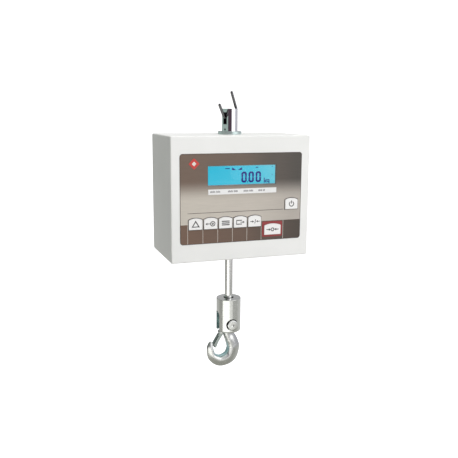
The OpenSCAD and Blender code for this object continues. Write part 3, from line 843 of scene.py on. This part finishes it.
def ring(outer, inner, low_y, high_y):
    """A closed frame between two outlines that have the same number of points."""
    bm = bmesh.new()
    loops = [[bm.verts.new((x, y, z)) for x, z in outline]
             for outline, y in ((outer, low_y), (inner, low_y), (inner, high_y), (outer, high_y))]
    for near, far in zip(loops, loops[1:] + loops[:1]):
        wall(bm, near, far)
    return bm


def inset(outline, by):
    """Moves each corner of a closed outline inwards along its bisector."""
    made = []
    for k, corner in enumerate(outline):
        before = (Vector(corner) - Vector(outline[k - 1])).normalized()
        after = (Vector(outline[(k + 1) % len(outline)]) - Vector(corner)).normalized()
        normal = Vector((-before.y - after.y, before.x + after.x)).normalized()
        stretch = max(0.5, normal.dot(Vector((-before.y, before.x))))
        made.append(tuple(Vector(corner) + normal * by / stretch))
    return made


def has_hole(shape):
    return isinstance(shape[0][0], (tuple, list))


def print_flat(name, shapes, material, body="scale_body", face=PANEL_FACE, thick=PRINT_T):
    """Printed or inked shapes: thin closed plates that lie on a face. A shape is an outline of (x, z)
    points, or a pair of outlines when it has a hole."""
    plates = [ring(*shape, face - thick, face) if has_hole(shape) else prism(shape, face - thick, face)
              for shape in shapes]
    return piece(name, join_meshes(map(mesh_of, plates)), material, body, sharp=20)


def bar(x0, x1, z0, z1):
    """A rectangle in millimetres across and above the cabinet's bottom."""
    return rectangle(x0 * MM, x1 * MM, up(z0), up(z1))


def moved(outline, x, z, scale=1.0):
    """An outline in millimetres about (0, 0), placed at x across and z up."""
    return [((x + scale * p) * MM, up(z + scale * q)) for p, q in outline]


def mirrored(outline):
    return [(-p, q) for p, q in reversed(outline)]


def make_panel():
    low, high = PANEL
    blank = combine(plate(PANEL, PANEL_CORNER, 10), front_openings(low.y - MM, high.y + MM))
    made = finished("panel_overlay", blank, PRINT, edge=0.12 * MM, segments=2)
    stands_for("front_panel")
    # A dark ring round the panel's edge: painted shade in the gap where the panel meets the casing.
    border = around_box(PANEL, -0.2 * MM, PANEL_CORNER - 0.2 * MM, 10)
    print_flat("panel_shade_line", [(border, inset(border, 0.8 * MM))], DARK_PRINT_AND_SHADE)
    print_flat("panel_rule", [bar(UPRIGHTS[0], UPRIGHTS[-1], 80.5, 81.3)], DARK_PRINT_AND_SHADE)
    print_flat("panel_uprights", [bar(x - 0.35, x + 0.35, 30.6, BAND_TOP) for x in UPRIGHTS], PRINT_LINE)


def make_display():
    low, high = WINDOW
    made = finished("window_pane", plate(WINDOW), GLASS, edge=0.25 * MM, segments=2)
    made.modifiers.clear()
    stands_for("lcd_window")
    # A thin teal ring fills the gap round the pane.
    seal = ring(around_box(WINDOW, 0.17 * MM), around_box(WINDOW, 0.03 * MM), low.y + 0.1 * MM, high.y)
    piece("window_edge_ring", seal, WINDOW_EDGE_TEAL, smooth=False)
    dress("lcd_display", DISPLAY)
    dress("lcd_bezel", TINNED)
    ink = zero_digit(3.6) + zero_digit(16) + zero_digit(28.5) + [moved(circle(1.0, 16), 9.85, 128.9)]
    wedge = [(-3.6, -2.2), (3.8, -2.2), (-3.6, 2.2)]
    marks = unit_mark(38.4, 126.6) + [moved(wedge, -13.7, 150.5), moved(mirrored(wedge), -3.7, 150.5)]
    marks += [bar(-28.8, -21.2, 150.3, 151.6), bar(23.8, 28.1, 151.1, 152.4), bar(52, 54.5, 152.4, 153.1),
              bar(52, 54.5, 139.3, 140)]
    for name, shapes in (("lcd_digits", ink), ("lcd_marks", marks)):
        print_flat(name, shapes, SEGMENT, face=box("lcd_display")[0].y, thick=0.1 * MM)


def zero_digit(middle):
    """The six lit bars of a zero, each with pointed ends, in millimetres."""
    centre, width, height, thick, lap = 136.6, 9.4, 17.6, 3.1, 0.5
    t, w, h = thick / 2, (width - thick) / 2, (height - thick) / 2
    half, tall = w + lap, h / 2 + lap
    lying = [(-half, 0), (-half + t, -t), (half - t, -t), (half, 0), (half - t, t), (-half + t, t)]
    standing = [(0, -tall), (t, -tall + t), (t, tall - t), (0, tall), (-t, tall - t), (-t, -tall + t)]
    return ([moved(lying, middle, centre + z) for z in (h, -h)]
            + [moved(standing, middle + x, centre + z) for x in (w, -w) for z in (h / 2, -h / 2)])


def unit_mark(left, foot):
    """The mass unit beside the digits, drawn from bars and rings."""
    stem = bar(left, left + 1.5, foot, foot + 8.2)
    arm_up = moved([(0, -0.4), (2.7, 2.7), (4.4, 2.7), (1.5, -0.4)], left + 1.4, foot + 2.9)
    arm_down = moved([(0, 0), (2.0, -2.9), (3.8, -2.9), (1.4, 0.6)], left + 1.5, foot + 2.9)
    bowl = (moved(circle(2.5, 24), left + 7.3, foot + 2.9), moved(circle(1.2, 24), left + 7.3, foot + 2.9))
    tail = bar(left + 8.5, left + 9.9, foot - 1.6, foot + 5.3)
    hook = bar(left + 5.2, left + 9.9, foot - 2.6, foot - 1.3)
    return [stem, arm_up, arm_down, bowl, tail, hook]


def key_cap(name):
    """A moulded cap with soft edges and a hidden rim. Gives its face and the middle of its sign."""
    low, high = box(name)
    cap = loose(prism(key_outline(name), low.y, high.y - 0.05 * MM))
    combine(cap, [prism(key_outline(name, KEY_FLANGE), high.y - KEY_FLANGE, high.y)], "UNION")
    made = finished(name + "_cap", cap, KEY_WHITE, name, edge=0.45 * MM, segments=4)
    stands_for(name)
    return low.y, (low.x + high.x) / 2 / MM, ((low.z + high.z) / 2 - BASE) / MM - 0.6


SIGN_SCALE = 1.28
ARROW = [(-3.2, -0.5), (0.4, -0.5), (0.4, -1.8), (3.2, 0), (0.4, 1.8), (0.4, 0.5), (-3.2, 0.5)]


def shifted(outline, x, z=0.0, scale=1.0):
    return [(x + scale * p, z + scale * q) for p, q in outline]


def washer(radius, width, x=0.0):
    """A round line: a circle with a round hole."""
    return shifted(circle(radius), x), shifted(circle(radius - width), x)


def power_arc(radius, width):
    """A round line with a gap at its top."""
    gap = math.radians(32)
    turn = (math.pi / 2 + gap, math.pi / 2 - gap + math.tau)
    return circle(radius, 40, *turn) + circle(radius - width, 40, *turn)[::-1]


def key_marks():
    """The printed sign of each key, in millimetres about its middle."""
    triangle = [(-5.4, -3.6), (5.4, -3.6), (0, 5.2)]
    back = mirrored(ARROW)
    dash = [(-5.2, -0.65), (5.2, -0.65), (5.2, 0.65), (-5.2, 0.65)]
    slash = [(-0.9, -2.6), (0, -2.6), (0.9, 2.6), (0, 2.6)]
    open_box = [(-5.5, -3), (2.2, -3), (2.2, -1.9), (-4.6, -1.9)]
    open_box += [(x, -z) for x, z in reversed(open_box)]
    stem = [(-0.6, 0.4), (0.6, 0.4), (0.6, 4.4), (-0.6, 4.4)]
    return {
        "key_1": [(triangle, inset(triangle, 1.25))],
        "key_2": [shifted(back, -4.2, 0, 0.95), washer(3.4, 1.0, 2.6), washer(1.4, 0.9, 2.6)],
        "key_3": [shifted(dash, 0, z) for z in (-2.3, 0, 2.3)],
        "key_4": [open_box, shifted(ARROW, 3.0, 0, 0.9)],
        "key_5": [shifted(ARROW, -3.6, 0, 0.8), shifted(slash, 0.6), shifted(back, 4.4, 0, 0.8)],
        "zero_key": [shifted(ARROW, -5.6, 0, 0.95), washer(2.5, 1.1), shifted(back, 5.6, 0, 0.95)],
        "power_key": [power_arc(3.7, 1.1), stem]}


def make_keys():
    marks = key_marks()
    for name in KEYS:
        face, x, z = key_cap(name)
        shapes = [tuple(moved(outline, x, z, SIGN_SCALE) for outline in shape) if has_hole(shape)
                  else moved(shape, x, z, SIGN_SCALE) for shape in marks[name]]
        print_flat(name + "_sign", shapes, PRINT_BLACK, name, face=face, thick=0.04 * MM)


def make_prints():
    """The label strip, badge, key outlines and red frame, each a thin plate with soft corners."""
    strip = plate(box("label_strip"), 0.5 * MM, 3)
    made = finished("label_plate", strip, LABEL, edge=0.06 * MM, segments=2)
    stands_for("label_strip")
    dashes = []
    for start, blocks in ((-55, 9), (-25, 9), (2, 9), (28, 6)):
        for k in range(blocks):
            at = start + 1.75 * k + (1.2 if k > blocks // 2 else 0)
            dashes.append(bar(at, at + 1.2, 112.9, 115.6 + 0.5 * (k % 2)))
    print_flat("label_dashes", dashes, LABEL_GREY, face=box("label_strip")[0].y)

    low, high = box("badge")
    middle, half = (low + high) / 2, (high.x - low.x) / 2
    diamond = [(0, -half), (half, 0), (0, half), (-half, 0)]
    blank = loose(prism(rounded(shifted(diamond, middle.x, middle.z), 1.6 * MM, 5), low.y, high.y))
    made = finished("badge_plate", blank, BADGE, edge=0.1 * MM, segments=2)
    stands_for("badge")
    heart = rounded(shifted(diamond, middle.x, middle.z, 0.42), 0.8 * MM, 4)
    print_flat("badge_heart", [heart], BADGE_PALE, face=low.y, thick=0.05 * MM)

    line = 0.7 * MM
    low, high = box("key_frames")
    lines = [ring(key_outline(key, KEY_GAP + line), key_outline(key, KEY_GAP), low.y, high.y)
             for key in KEYS if key != "zero_key"]
    made = piece("key_lines", join_meshes(map(mesh_of, lines)), KEY_LINE, sharp=25)
    stands_for("key_frames")

    low, high = box("zero_key_frame")
    red_frame = plate((low, high), 2.6 * MM, 6)
    combine(red_frame, [prism(key_outline("zero_key", KEY_GAP), low.y - MM, high.y + MM)])
    made = finished("zero_frame", red_frame, FRAME_RED, edge=0.12 * MM, segments=2)
    stands_for("zero_key_frame")


make_panel()
make_display()
make_keys()
make_prints()


# ---- suspension

def make_boss():
    """A round bar with two flats, an upright slot for the wire, a grub screw and a shank into the cabinet."""
    radius, half_flat = 13.4 * MM, 9.8 * MM
    foot, top = FLANGE_HIGH.z, box("suspension_boss")[1].z
    screw_at = (0, 0, foot + 3 * MM)
    head = loose(cylinder(radius, foot, top, sides=128))
    wide, slot_half, slot_low, slot_high = 2 * radius, 5 * MM, up(225), up(235)
    combine(head, [block((-half_flat, -wide, foot - MM), (half_flat, wide, top + MM))], "INTERSECT")
    combine(head, [block((-wide, -slot_half, slot_low), (wide, slot_half, slot_high))])
    for z in (slot_low, slot_high):
        combine(head, [cylinder(slot_half, -wide, wide, "X", (0, 0, z), 48)])
    combine(head, [cylinder(2 * MM, -half_flat - MM, -half_flat + 6 * MM, "X", screw_at, 32)])
    soften(head, 0.45 * MM, 3, 28)
    shank_top = (foot - BASE) / MM + 0.2
    shank = [(0, 141), (5.6, 141), (6, 141.5), (6, 165), (10, 165), (10, shank_top), (0, shank_top)]
    combine(head, [upright(shank, sides=72)], "UNION")
    head.data.transform(BOSS_TURN)
    made = finished("boss_body", head, CHROME, sharp=28)
    stands_for("suspension_boss")

    screw = loose(cylinder(1.97 * MM, -half_flat + 0.4 * MM, -half_flat + 6 * MM, "X", screw_at, 40))
    combine(screw, [cylinder(1.2 * MM, -half_flat - MM, -half_flat + 3.2 * MM, "X", screw_at, 6)])
    screw.data.transform(BOSS_TURN)
    made = finished("boss_grub_screw", screw, BLACK_STEEL, edge=0.12 * MM, segments=2)
    stands_for("boss_set_screw")


def make_flange():
    r, hole = 20 * MM, 10.05 * MM
    foot, top = FLANGE_LOW.z, FLANGE_HIGH.z
    outline = [(hole, foot), (r - 0.2 * MM, foot), (r, foot + 0.2 * MM)] + upper_edge(r, top, 0.8 * MM)
    outline += [(hole + 0.25 * MM, top), (hole, top - 0.2 * MM)]
    made = piece("flange_ring", lathe(outline, sides=144), SATIN, sharp=28)
    stands_for("top_flange")


def make_hanger():
    """The bent wire: a short splayed leg, a round saddle through the slot and a long leaning shank."""
    foot, end = Vector((12.9, 247.2)), Vector((3.5, 273))
    route = [(-21, 252), (-18, 245.5), (-15.2, 239.5), (-12.8, 234.5), (-8.5, 230.6), (0, 229), (8, 230.8),
             (11.6, 235.3), (12.8, 240), (13.1, 244), tuple(foot)]
    line = smooth_path(route, 10) + [tuple(foot.lerp(end, k / 12)) for k in range(1, 13)]
    points = [BOSS_TURN @ Vector((x * MM, 0, up(z))) for x, z in line]
    made = piece("hanger_wire", tube(points, 2.28 * MM, 40), WIRE, "hanger", sharp=50)
    stands_for("hanger_hook")


# ---- cabinet's underside

def make_grommet():
    """A rubber ring that grips the edge of its hole, with rounded lips."""
    groove = 10.95
    outline = [(8, -1.5), (13.5, -1.5), (13.5, 0), (groove, 0), (groove, 2), (13.5, 2), (13.5, 3.5), (8, 3.5)]
    points = []
    for k, corner in enumerate(outline):
        if corner[0] == groove:
            points.append(corner)
        else:
            points += fillet(outline[k - 1], corner, outline[(k + 1) % len(outline)], 0.7, 4)
    made = piece("grommet_ring", upright(points), RUBBER, sharp=40)
    stands_for("bottom_grommet")


def make_jack():
    """The charger socket's shell and its centre pin."""
    at = (JACK_AT.x, JACK_AT.y, 0)
    shell = [(3.2, -1.5), (6.6, -1.5), (7.1, -1.2), (7.25, -0.8), (7.25, 0), (5.5, 0), (5.5, 16), (0, 16),
             (0, 8.5), (3.2, 8.5)]
    made = piece("jack_shell", upright(shell, at, 64), SOCKET, sharp=40)
    stands_for("charger_jack")
    pin = [(0, 10), (1, 10), (1, 0.7), (0.85, 0.25), (0.5, 0), (0, 0)]
    piece("jack_pin", upright(pin, at, 32), ZINC)


make_boss()
make_flange()
make_hanger()
make_grommet()
make_jack()


# ---- load train

PIN_AT = (0, 0, up(PIN_HEIGHT))
LATCH_AT = (-14.5 * MM, 0, up(-148.5))


def make_rod():
    """A plain pull rod with turned ends and a short thread at its foot."""
    outline = [(0, -110.5), (5.2, -110.5), (6, -109.7)]
    for k in range(9):
        turn = -109.2 + 1.25 * k
        outline += [(6, turn), (5.55, turn + 0.45), (6, turn + 0.9)]
    outline += [(6, -98.1), (7, -98), (7, 65.6), (6.65, 66), (6, 66), (6, 86.5), (5.5, 87), (0, 87)]
    made = piece("pull_bar", upright(outline), ROD, sharp=30)
    stands_for("pull_rod")


def make_clevis():
    """A turned block with a recess for the rod, a bore for its nut, an arched slot and a cross hole."""
    r, foot, top = 21.7, -145, -84.5
    outline = [(0, foot)] + lower_edge(r, foot, 2.5) + upper_edge(r, top, 0.8) + [(0, top)]
    body = loose(upright(outline, sides=160))
    for radius, low, high in ((9, -90.5, -80), (7.05, -150, -86), (11, -150, -98)):
        combine(body, [cylinder(radius * MM, up(low), up(high))])
    fork, wide, arch = 8.5 * MM, 2 * r * MM, up(-116.5)
    combine(body, [block((-wide, -fork, up(-150)), (wide, fork, arch))])
    combine(body, [cylinder(fork, -wide, wide, "X", (0, 0, arch))])
    for radius, low, high in ((6.42, -30, 30), (10.3, -30, -18), (11.5, 16, 30)):
        combine(body, [cylinder(radius * MM, low * MM, high * MM, "Y", PIN_AT, 80)])
    made = finished("clevis_body", body, CLEVIS, "clevis", edge=0.4 * MM, sharp=32)
    stands_for("clevis")


def make_clevis_pin():
    """A bolt with a socket head and a threaded end, and its chamfered nut."""
    r, seat, nut_seat = 9.3, -18, 16
    outline = [(0, seat - 5.4), (r - 1.5, seat - 5.4), (r - 0.9, seat - 5.15), (r - 0.25, seat - 4.5),
               (r, seat - 3.8), (r, seat - 0.2), (r - 0.2, seat), (6.35, seat), (6.35, nut_seat),
               (6, nut_seat)]
    for k in range(4):
        turn = nut_seat + 0.3 + k
        outline += [(6, turn), (5.6, turn + 0.4), (6, turn + 0.8)]
    outline += [(6, 20.2), (5.4, 20.8), (0, 20.8)]
    body = loose(crosswise(outline, PIN_AT, 96))
    combine(body, [cylinder(3.46 * MM, (seat - 6.4) * MM, (seat - 2.8) * MM, "Y", PIN_AT, 6)])
    made = finished("clevis_pin_bolt", body, PIN, "clevis", edge=0.15 * MM, segments=2)
    stands_for("clevis_pin")

    half_flats = 9.5
    nut = loose(cylinder(half_flats / math.cos(math.pi / 6) * MM, 16 * MM, 20.4 * MM, "Y", PIN_AT, 6))
    dome = [(0, 16), (10.3, 16), (11, 16.5), (11, 19.7), (9.6, 20.4), (0, 20.4)]
    combine(nut, [crosswise(dome, PIN_AT, 64)], "INTERSECT")
    combine(nut, [cylinder(6.04 * MM, 10 * MM, 25 * MM, "Y", PIN_AT, 48)])
    made = finished("clevis_pin_nut", nut, ZINC, "clevis", edge=0.2 * MM, segments=2)
    stands_for("clevis_nut")


# Along the hook's middle line: x, height, half of the width, half of the thickness.
HOOK_STATIONS = [
    (0, -133, 11.5, 7.6), (-0.9, -145, 10, 7), (0.5, -154, 9.9, 7.2), (4.2, -162, 11, 8),
    (7.6, -171, 11.6, 8.4), (8.9, -181, 12, 9), (2.3, -196.4, 12.3, 9.2), (-15.6, -202.1, 10.6, 8.8),
    (-30.5, -193.4, 8, 7.6), (-34.9, -178.5, 6.1, 6.3), (-35, -171, 4.6, 5.1), (-34.6, -167, 3, 3.4)]
HOOK_TAPER = 0.38


def hook_sections():
    """Sections along the hook, each thicker inside its bend than outside, closing in a round tip."""
    stations = smooth_path(HOOK_STATIONS, 10)
    middles = []
    for k, (x, z, half, thick) in enumerate(stations):
        before, after = stations[max(k - 1, 0)], stations[min(k + 1, len(stations) - 1)]
        way = Vector((after[0] - before[0], after[1] - before[1])).normalized()
        middles.append((Vector((x, z)), way, half, thick))
    at, way, half, thick = middles[-1]
    for t in (math.radians(a) for a in (18, 36, 54, 70, 82)):
        middles.append((at + way * half * math.sin(t), way, half * math.cos(t), thick * math.cos(t)))
    sections = []
    for at, way, half, thick in middles:
        section = []
        for c, s in circle(1, 56):
            across, depth = half * c, thick * s * (1 - HOOK_TAPER * c)
            section.append(Vector(((at.x - way.y * across) * MM, depth * MM, up(at.y + way.x * across))))
        sections.append(section)
    return sections


def make_hook():
    """One forging: a swept hook, its eye and the latch lug, blended into each other."""
    body = loose(skin(hook_sections()))
    half_eye = 8.2
    eye = [(0, -half_eye)] + lower_edge(16, -half_eye, 3) + upper_edge(16, half_eye, 3) + [(0, half_eye)]
    combine(body, [crosswise(eye, PIN_AT, 80)], "UNION")
    lug = moved(circle(4.5, 12, math.radians(118), math.radians(298)), -14.5, -148.5)
    lug += moved(circle(6, 11, math.radians(298), math.radians(463)), -4, -143)
    combine(body, [prism(lug, -1.2 * MM, 1.2 * MM)], "UNION")
    blend = body.modifiers.new("voxels", "REMESH")
    blend.mode = "VOXEL"
    blend.voxel_size = 0.42 * MM
    ease = body.modifiers.new("ease", "SMOOTH")
    ease.factor = 0.5
    ease.iterations = 7
    bake(body)
    for radius, at, sides in ((6.42, PIN_AT, 80), (1.52, LATCH_AT, 32)):
        combine(body, [cylinder(radius * MM, -12 * MM, 12 * MM, "Y", at, sides)])
    made = finished("hook_forging", body, FORGED, "load_hook", sharp=40)
    stands_for("load_hook")


def make_latch():
    """Pressed sheet: two cheeks joined by a web that closes the throat, with soft edges."""
    inside, sheet = 3 * MM, 1.2 * MM
    half = inside + sheet
    cheek = [(-18.6, -150.4), (-29.6, -168.6), (-28, -174.6), (-24.4, -175.6), (-20.2, -165), (-11.4, -151.6)]
    cheek = rounded(moved(cheek, 0, 0), 0.9 * MM, 4)
    web = [(-20.7, -153.9), (-29.6, -168.6), (-28, -174.6), (-26.8, -174.3), (-28.3, -168.8), (-19.7, -154.5)]
    sides = []
    for low in (-half, inside):
        side = loose(prism(cheek, low, low + sheet))
        sides.append(combine(side, [cylinder(4.3 * MM, low, low + sheet, "Y", LATCH_AT, 48)], "UNION"))
    body = combine(sides[0], [sides[1]], "UNION")
    combine(body, [prism(moved(web, 0, 0), -half, half)], "UNION")
    combine(body, [cylinder(1.55 * MM, -2 * half, 2 * half, "Y", LATCH_AT, 32)])
    made = finished("latch_plate", body, LATCH, "latch", edge=0.22 * MM, segments=2, sharp=32)
    stands_for("latch")

    rivet = [(0, -5.2), (1.6, -5.15), (2.2, -4.95), (2.5, -4.6), (2.5, -4.4), (1.5, -4.4)]
    rivet += [(r, -y) for r, y in reversed(rivet)]
    made = piece("latch_rivet", crosswise(rivet, LATCH_AT, 48), PIN, "load_hook", sharp=40)
    stands_for("latch_pin")


def make_latch_spring():
    """A coil on each side of the latch lug, in millimetres, each with a leg at both ends."""
    coil_r, start, rise, turns, leg, steps = 2.4, 1.6, 0.96, 1.6, 6.5, 90
    angles = [math.radians(300 + 360 * turns * k / steps) for k in range(steps + 1)]
    coil = [Vector((coil_r * math.cos(t), start + rise * k / steps, coil_r * math.sin(t)))
            for k, t in enumerate(angles)]
    ways = [Vector((-math.sin(t), 0, math.cos(t))) for t in (angles[0], angles[-1])]
    line = [coil[0] - 0.7 * leg * ways[0]] + coil + [coil[-1] + leg * ways[1]]
    meshes = []
    for side in (1, -1):
        points = [Vector((p.x, side * p.y, p.z)) * MM + Vector(LATCH_AT) for p in line]
        meshes.append(mesh_of(tube(points, 0.25 * MM, 12)))
    made = piece("latch_coils", join_meshes(meshes), SPRING, "load_hook", sharp=60)
    stands_for("latch_spring")


make_rod()
make_clevis()
make_clevis_pin()
make_hook()
make_latch()
make_latch_spring()

for carried, finish in {
        "rear_gasket": SEAL, "key_mat": RUBBER, "main_board": BOARD, "board_chips": CHIP,
        "board_connectors": CONNECTOR, "board_standoffs": ZINC, "board_screws": ZINC, "load_cell": CELL,
        "load_cell_nuts": ZINC, "load_cell_cable": CABLE, "battery": CASE, "battery_bracket": ZINC,
        "battery_leads": LEAD, "jack_nut": ZINC, "boss_nut": ZINC, "thrust_washer": BRONZE,
        "rod_nut": ZINC}.items():
    dress(carried, finish)


# ---- light and surroundings

TO_CAMERA = Vector((CAMERA_AT.x, CAMERA_AT.y, 0)).normalized()
TO_RIGHT = Vector((-TO_CAMERA.y, TO_CAMERA.x, 0))


def around(degrees, distance, height):
    """A point at an angle to the right of the camera, as seen from the scale."""
    angle = math.radians(degrees)
    flat = (math.cos(angle) * TO_CAMERA + math.sin(angle) * TO_RIGHT) * distance
    return flat.x, flat.y, height


def add_area(name, at, towards, width, height, power, lights=True, shines=True, tone=(1, 1, 1)):
    """A soft box that faces a point. One that only shines is a reflector card, seen in polished metal."""
    data = bpy.data.lights.new(name, "AREA")
    data.shape = "RECTANGLE"
    data.size, data.size_y = width, height
    data.energy = power
    data.color = tone
    light = bpy.data.objects.new(name, data)
    light.location = at
    light.rotation_euler = (Vector(towards) - Vector(at)).to_track_quat("-Z", "Y").to_euler()
    light.visible_diffuse = lights
    light.visible_glossy = shines
    light.visible_camera = False
    light.visible_transmission = False
    bpy.context.collection.objects.link(light)


ROOM_LEFT = (0.15, 0.16, 0.15)
ROOM_RIGHT = (0.60, 0.60, 0.66)
ROOM_FRONT = (0.09, 0.06, 0.08)
ROOM_BEHIND = (0.52, 0.52, 0.54)
ROOM_ABOVE = (0.95, 0.95, 0.95)
ROOM_LOW = (0.47, 0.47, 0.44)
ROOM_LOW_BEHIND = (0.70, 0.70, 0.69)
ROOM_BELOW = (0.38, 0.38, 0.345)
FLOOR_Z = -1.4


def make_studio():
    """A plain room: dark grey to the left, lilac-white to the right and bright above."""
    world = bpy.data.worlds.new("studio")
    bpy.context.scene.world = world
    room = Tree(world)
    place = room.node("ShaderNodeTexCoord", output="Generated")

    def shaded(color, towards, low, high, other):
        """A colour that passes into another as the view swings towards a direction."""
        share = room.vector("DOT_PRODUCT", place, towards, output=1)
        return room.mix(room.span(share, low, high, kind="SMOOTHSTEP"), color, other)

    above, below = Vector((0, 0, 1)), Vector((0, 0, -1))
    front = shaded(ROOM_FRONT, above, 0.08, 0.25, ROOM_RIGHT)
    low = shaded(ROOM_LOW, -TO_CAMERA, -0.3, 0.6, ROOM_LOW_BEHIND)
    color = shaded(ROOM_LEFT, TO_RIGHT, -0.2, 0.7, ROOM_RIGHT)
    for towards, start, end, other in (
            (TO_CAMERA, 0.78, 0.9, front), (-TO_CAMERA, 0.7, 0.95, ROOM_BEHIND),
            (above, 0.4, 0.9, ROOM_ABOVE), (below, 0.1, 0.35, low), (below, 0.6, 0.95, ROOM_BELOW)):
        color = shaded(color, towards, start, end, other)
    out = room.nodes.new("ShaderNodeOutputWorld")
    room.feed(out.inputs["Surface"], room.node("ShaderNodeBackground", {"Color": color, "Strength": 1.0}))


def make_floor():
    """A round pale floor that sweeps up into a backdrop on every side."""
    radius, rise, curve = 2.8, 4.5, 0.6
    line = [(radius - curve + curve * math.sin(t), FLOOR_Z + curve - curve * math.cos(t)) for t in QUARTER]
    outline = [(0, FLOOR_Z)] + line + [(radius, FLOOR_Z + rise)]
    bm = lathe(outline, sides=128)
    mesh = bpy.data.meshes.new("floor_sweep")
    bm.to_mesh(mesh)
    bm.free()
    mesh.shade_smooth()
    m = Nodes("floor_paper")
    cloud = m.noise(3, 2)
    m.set(base_color=m.ramp(cloud, (0.3, grey(0.88)), (0.7, grey(0.9))),
          roughness=m.span(cloud, 0, 1, 0.75, 0.85), emission_color=(1, 1, 1), emission_strength=0.75)
    m.bump(m.noise(400, 2), 0.02, 0.0002)
    mesh.materials.append(m.material)
    floor = bpy.data.objects.new("floor_sweep", mesh)
    for ray in ("glossy", "diffuse", "transmission", "shadow"):
        setattr(floor, "visible_" + ray, False)
    bpy.context.collection.objects.link(floor)


make_studio()
make_floor()
add_area("key_soft_box", around(30, 2.0, 0.3), (0, 0, -0.15), 1.5, 1.5, 22.9, shines=False)
add_area("top_soft_box", (0.0, 0.1, 1.0), (0, 0, -0.07), 0.9, 0.9, 5.1, shines=False)
add_area("left_fill", around(-110, 0.5, -0.52), (-0.12, 0, -0.28), 0.3, 0.3, 0.28, shines=False)
add_area("left_card", around(-108, 1.3, -0.02), (0, 0, -0.04), 1.0, 0.6, 0.62, lights=False,
         tone=(0.7, 1, 0.93))
add_area("side_card", around(56, 1.3, 0.1), (0, 0, -0.1), 1.3, 1.3, 7.0, lights=False)
add_area("low_card", around(-20.5, 0.9, -0.67), (0, 0, -0.35), 1.17, 0.5, 2.38, lights=False)
add_area("low_side_card", around(26, 0.9, -0.67), (0, 0, -0.35), 0.42, 0.5, 0.36, lights=False)
bpy.context.scene.view_settings.view_transform = "Standard"
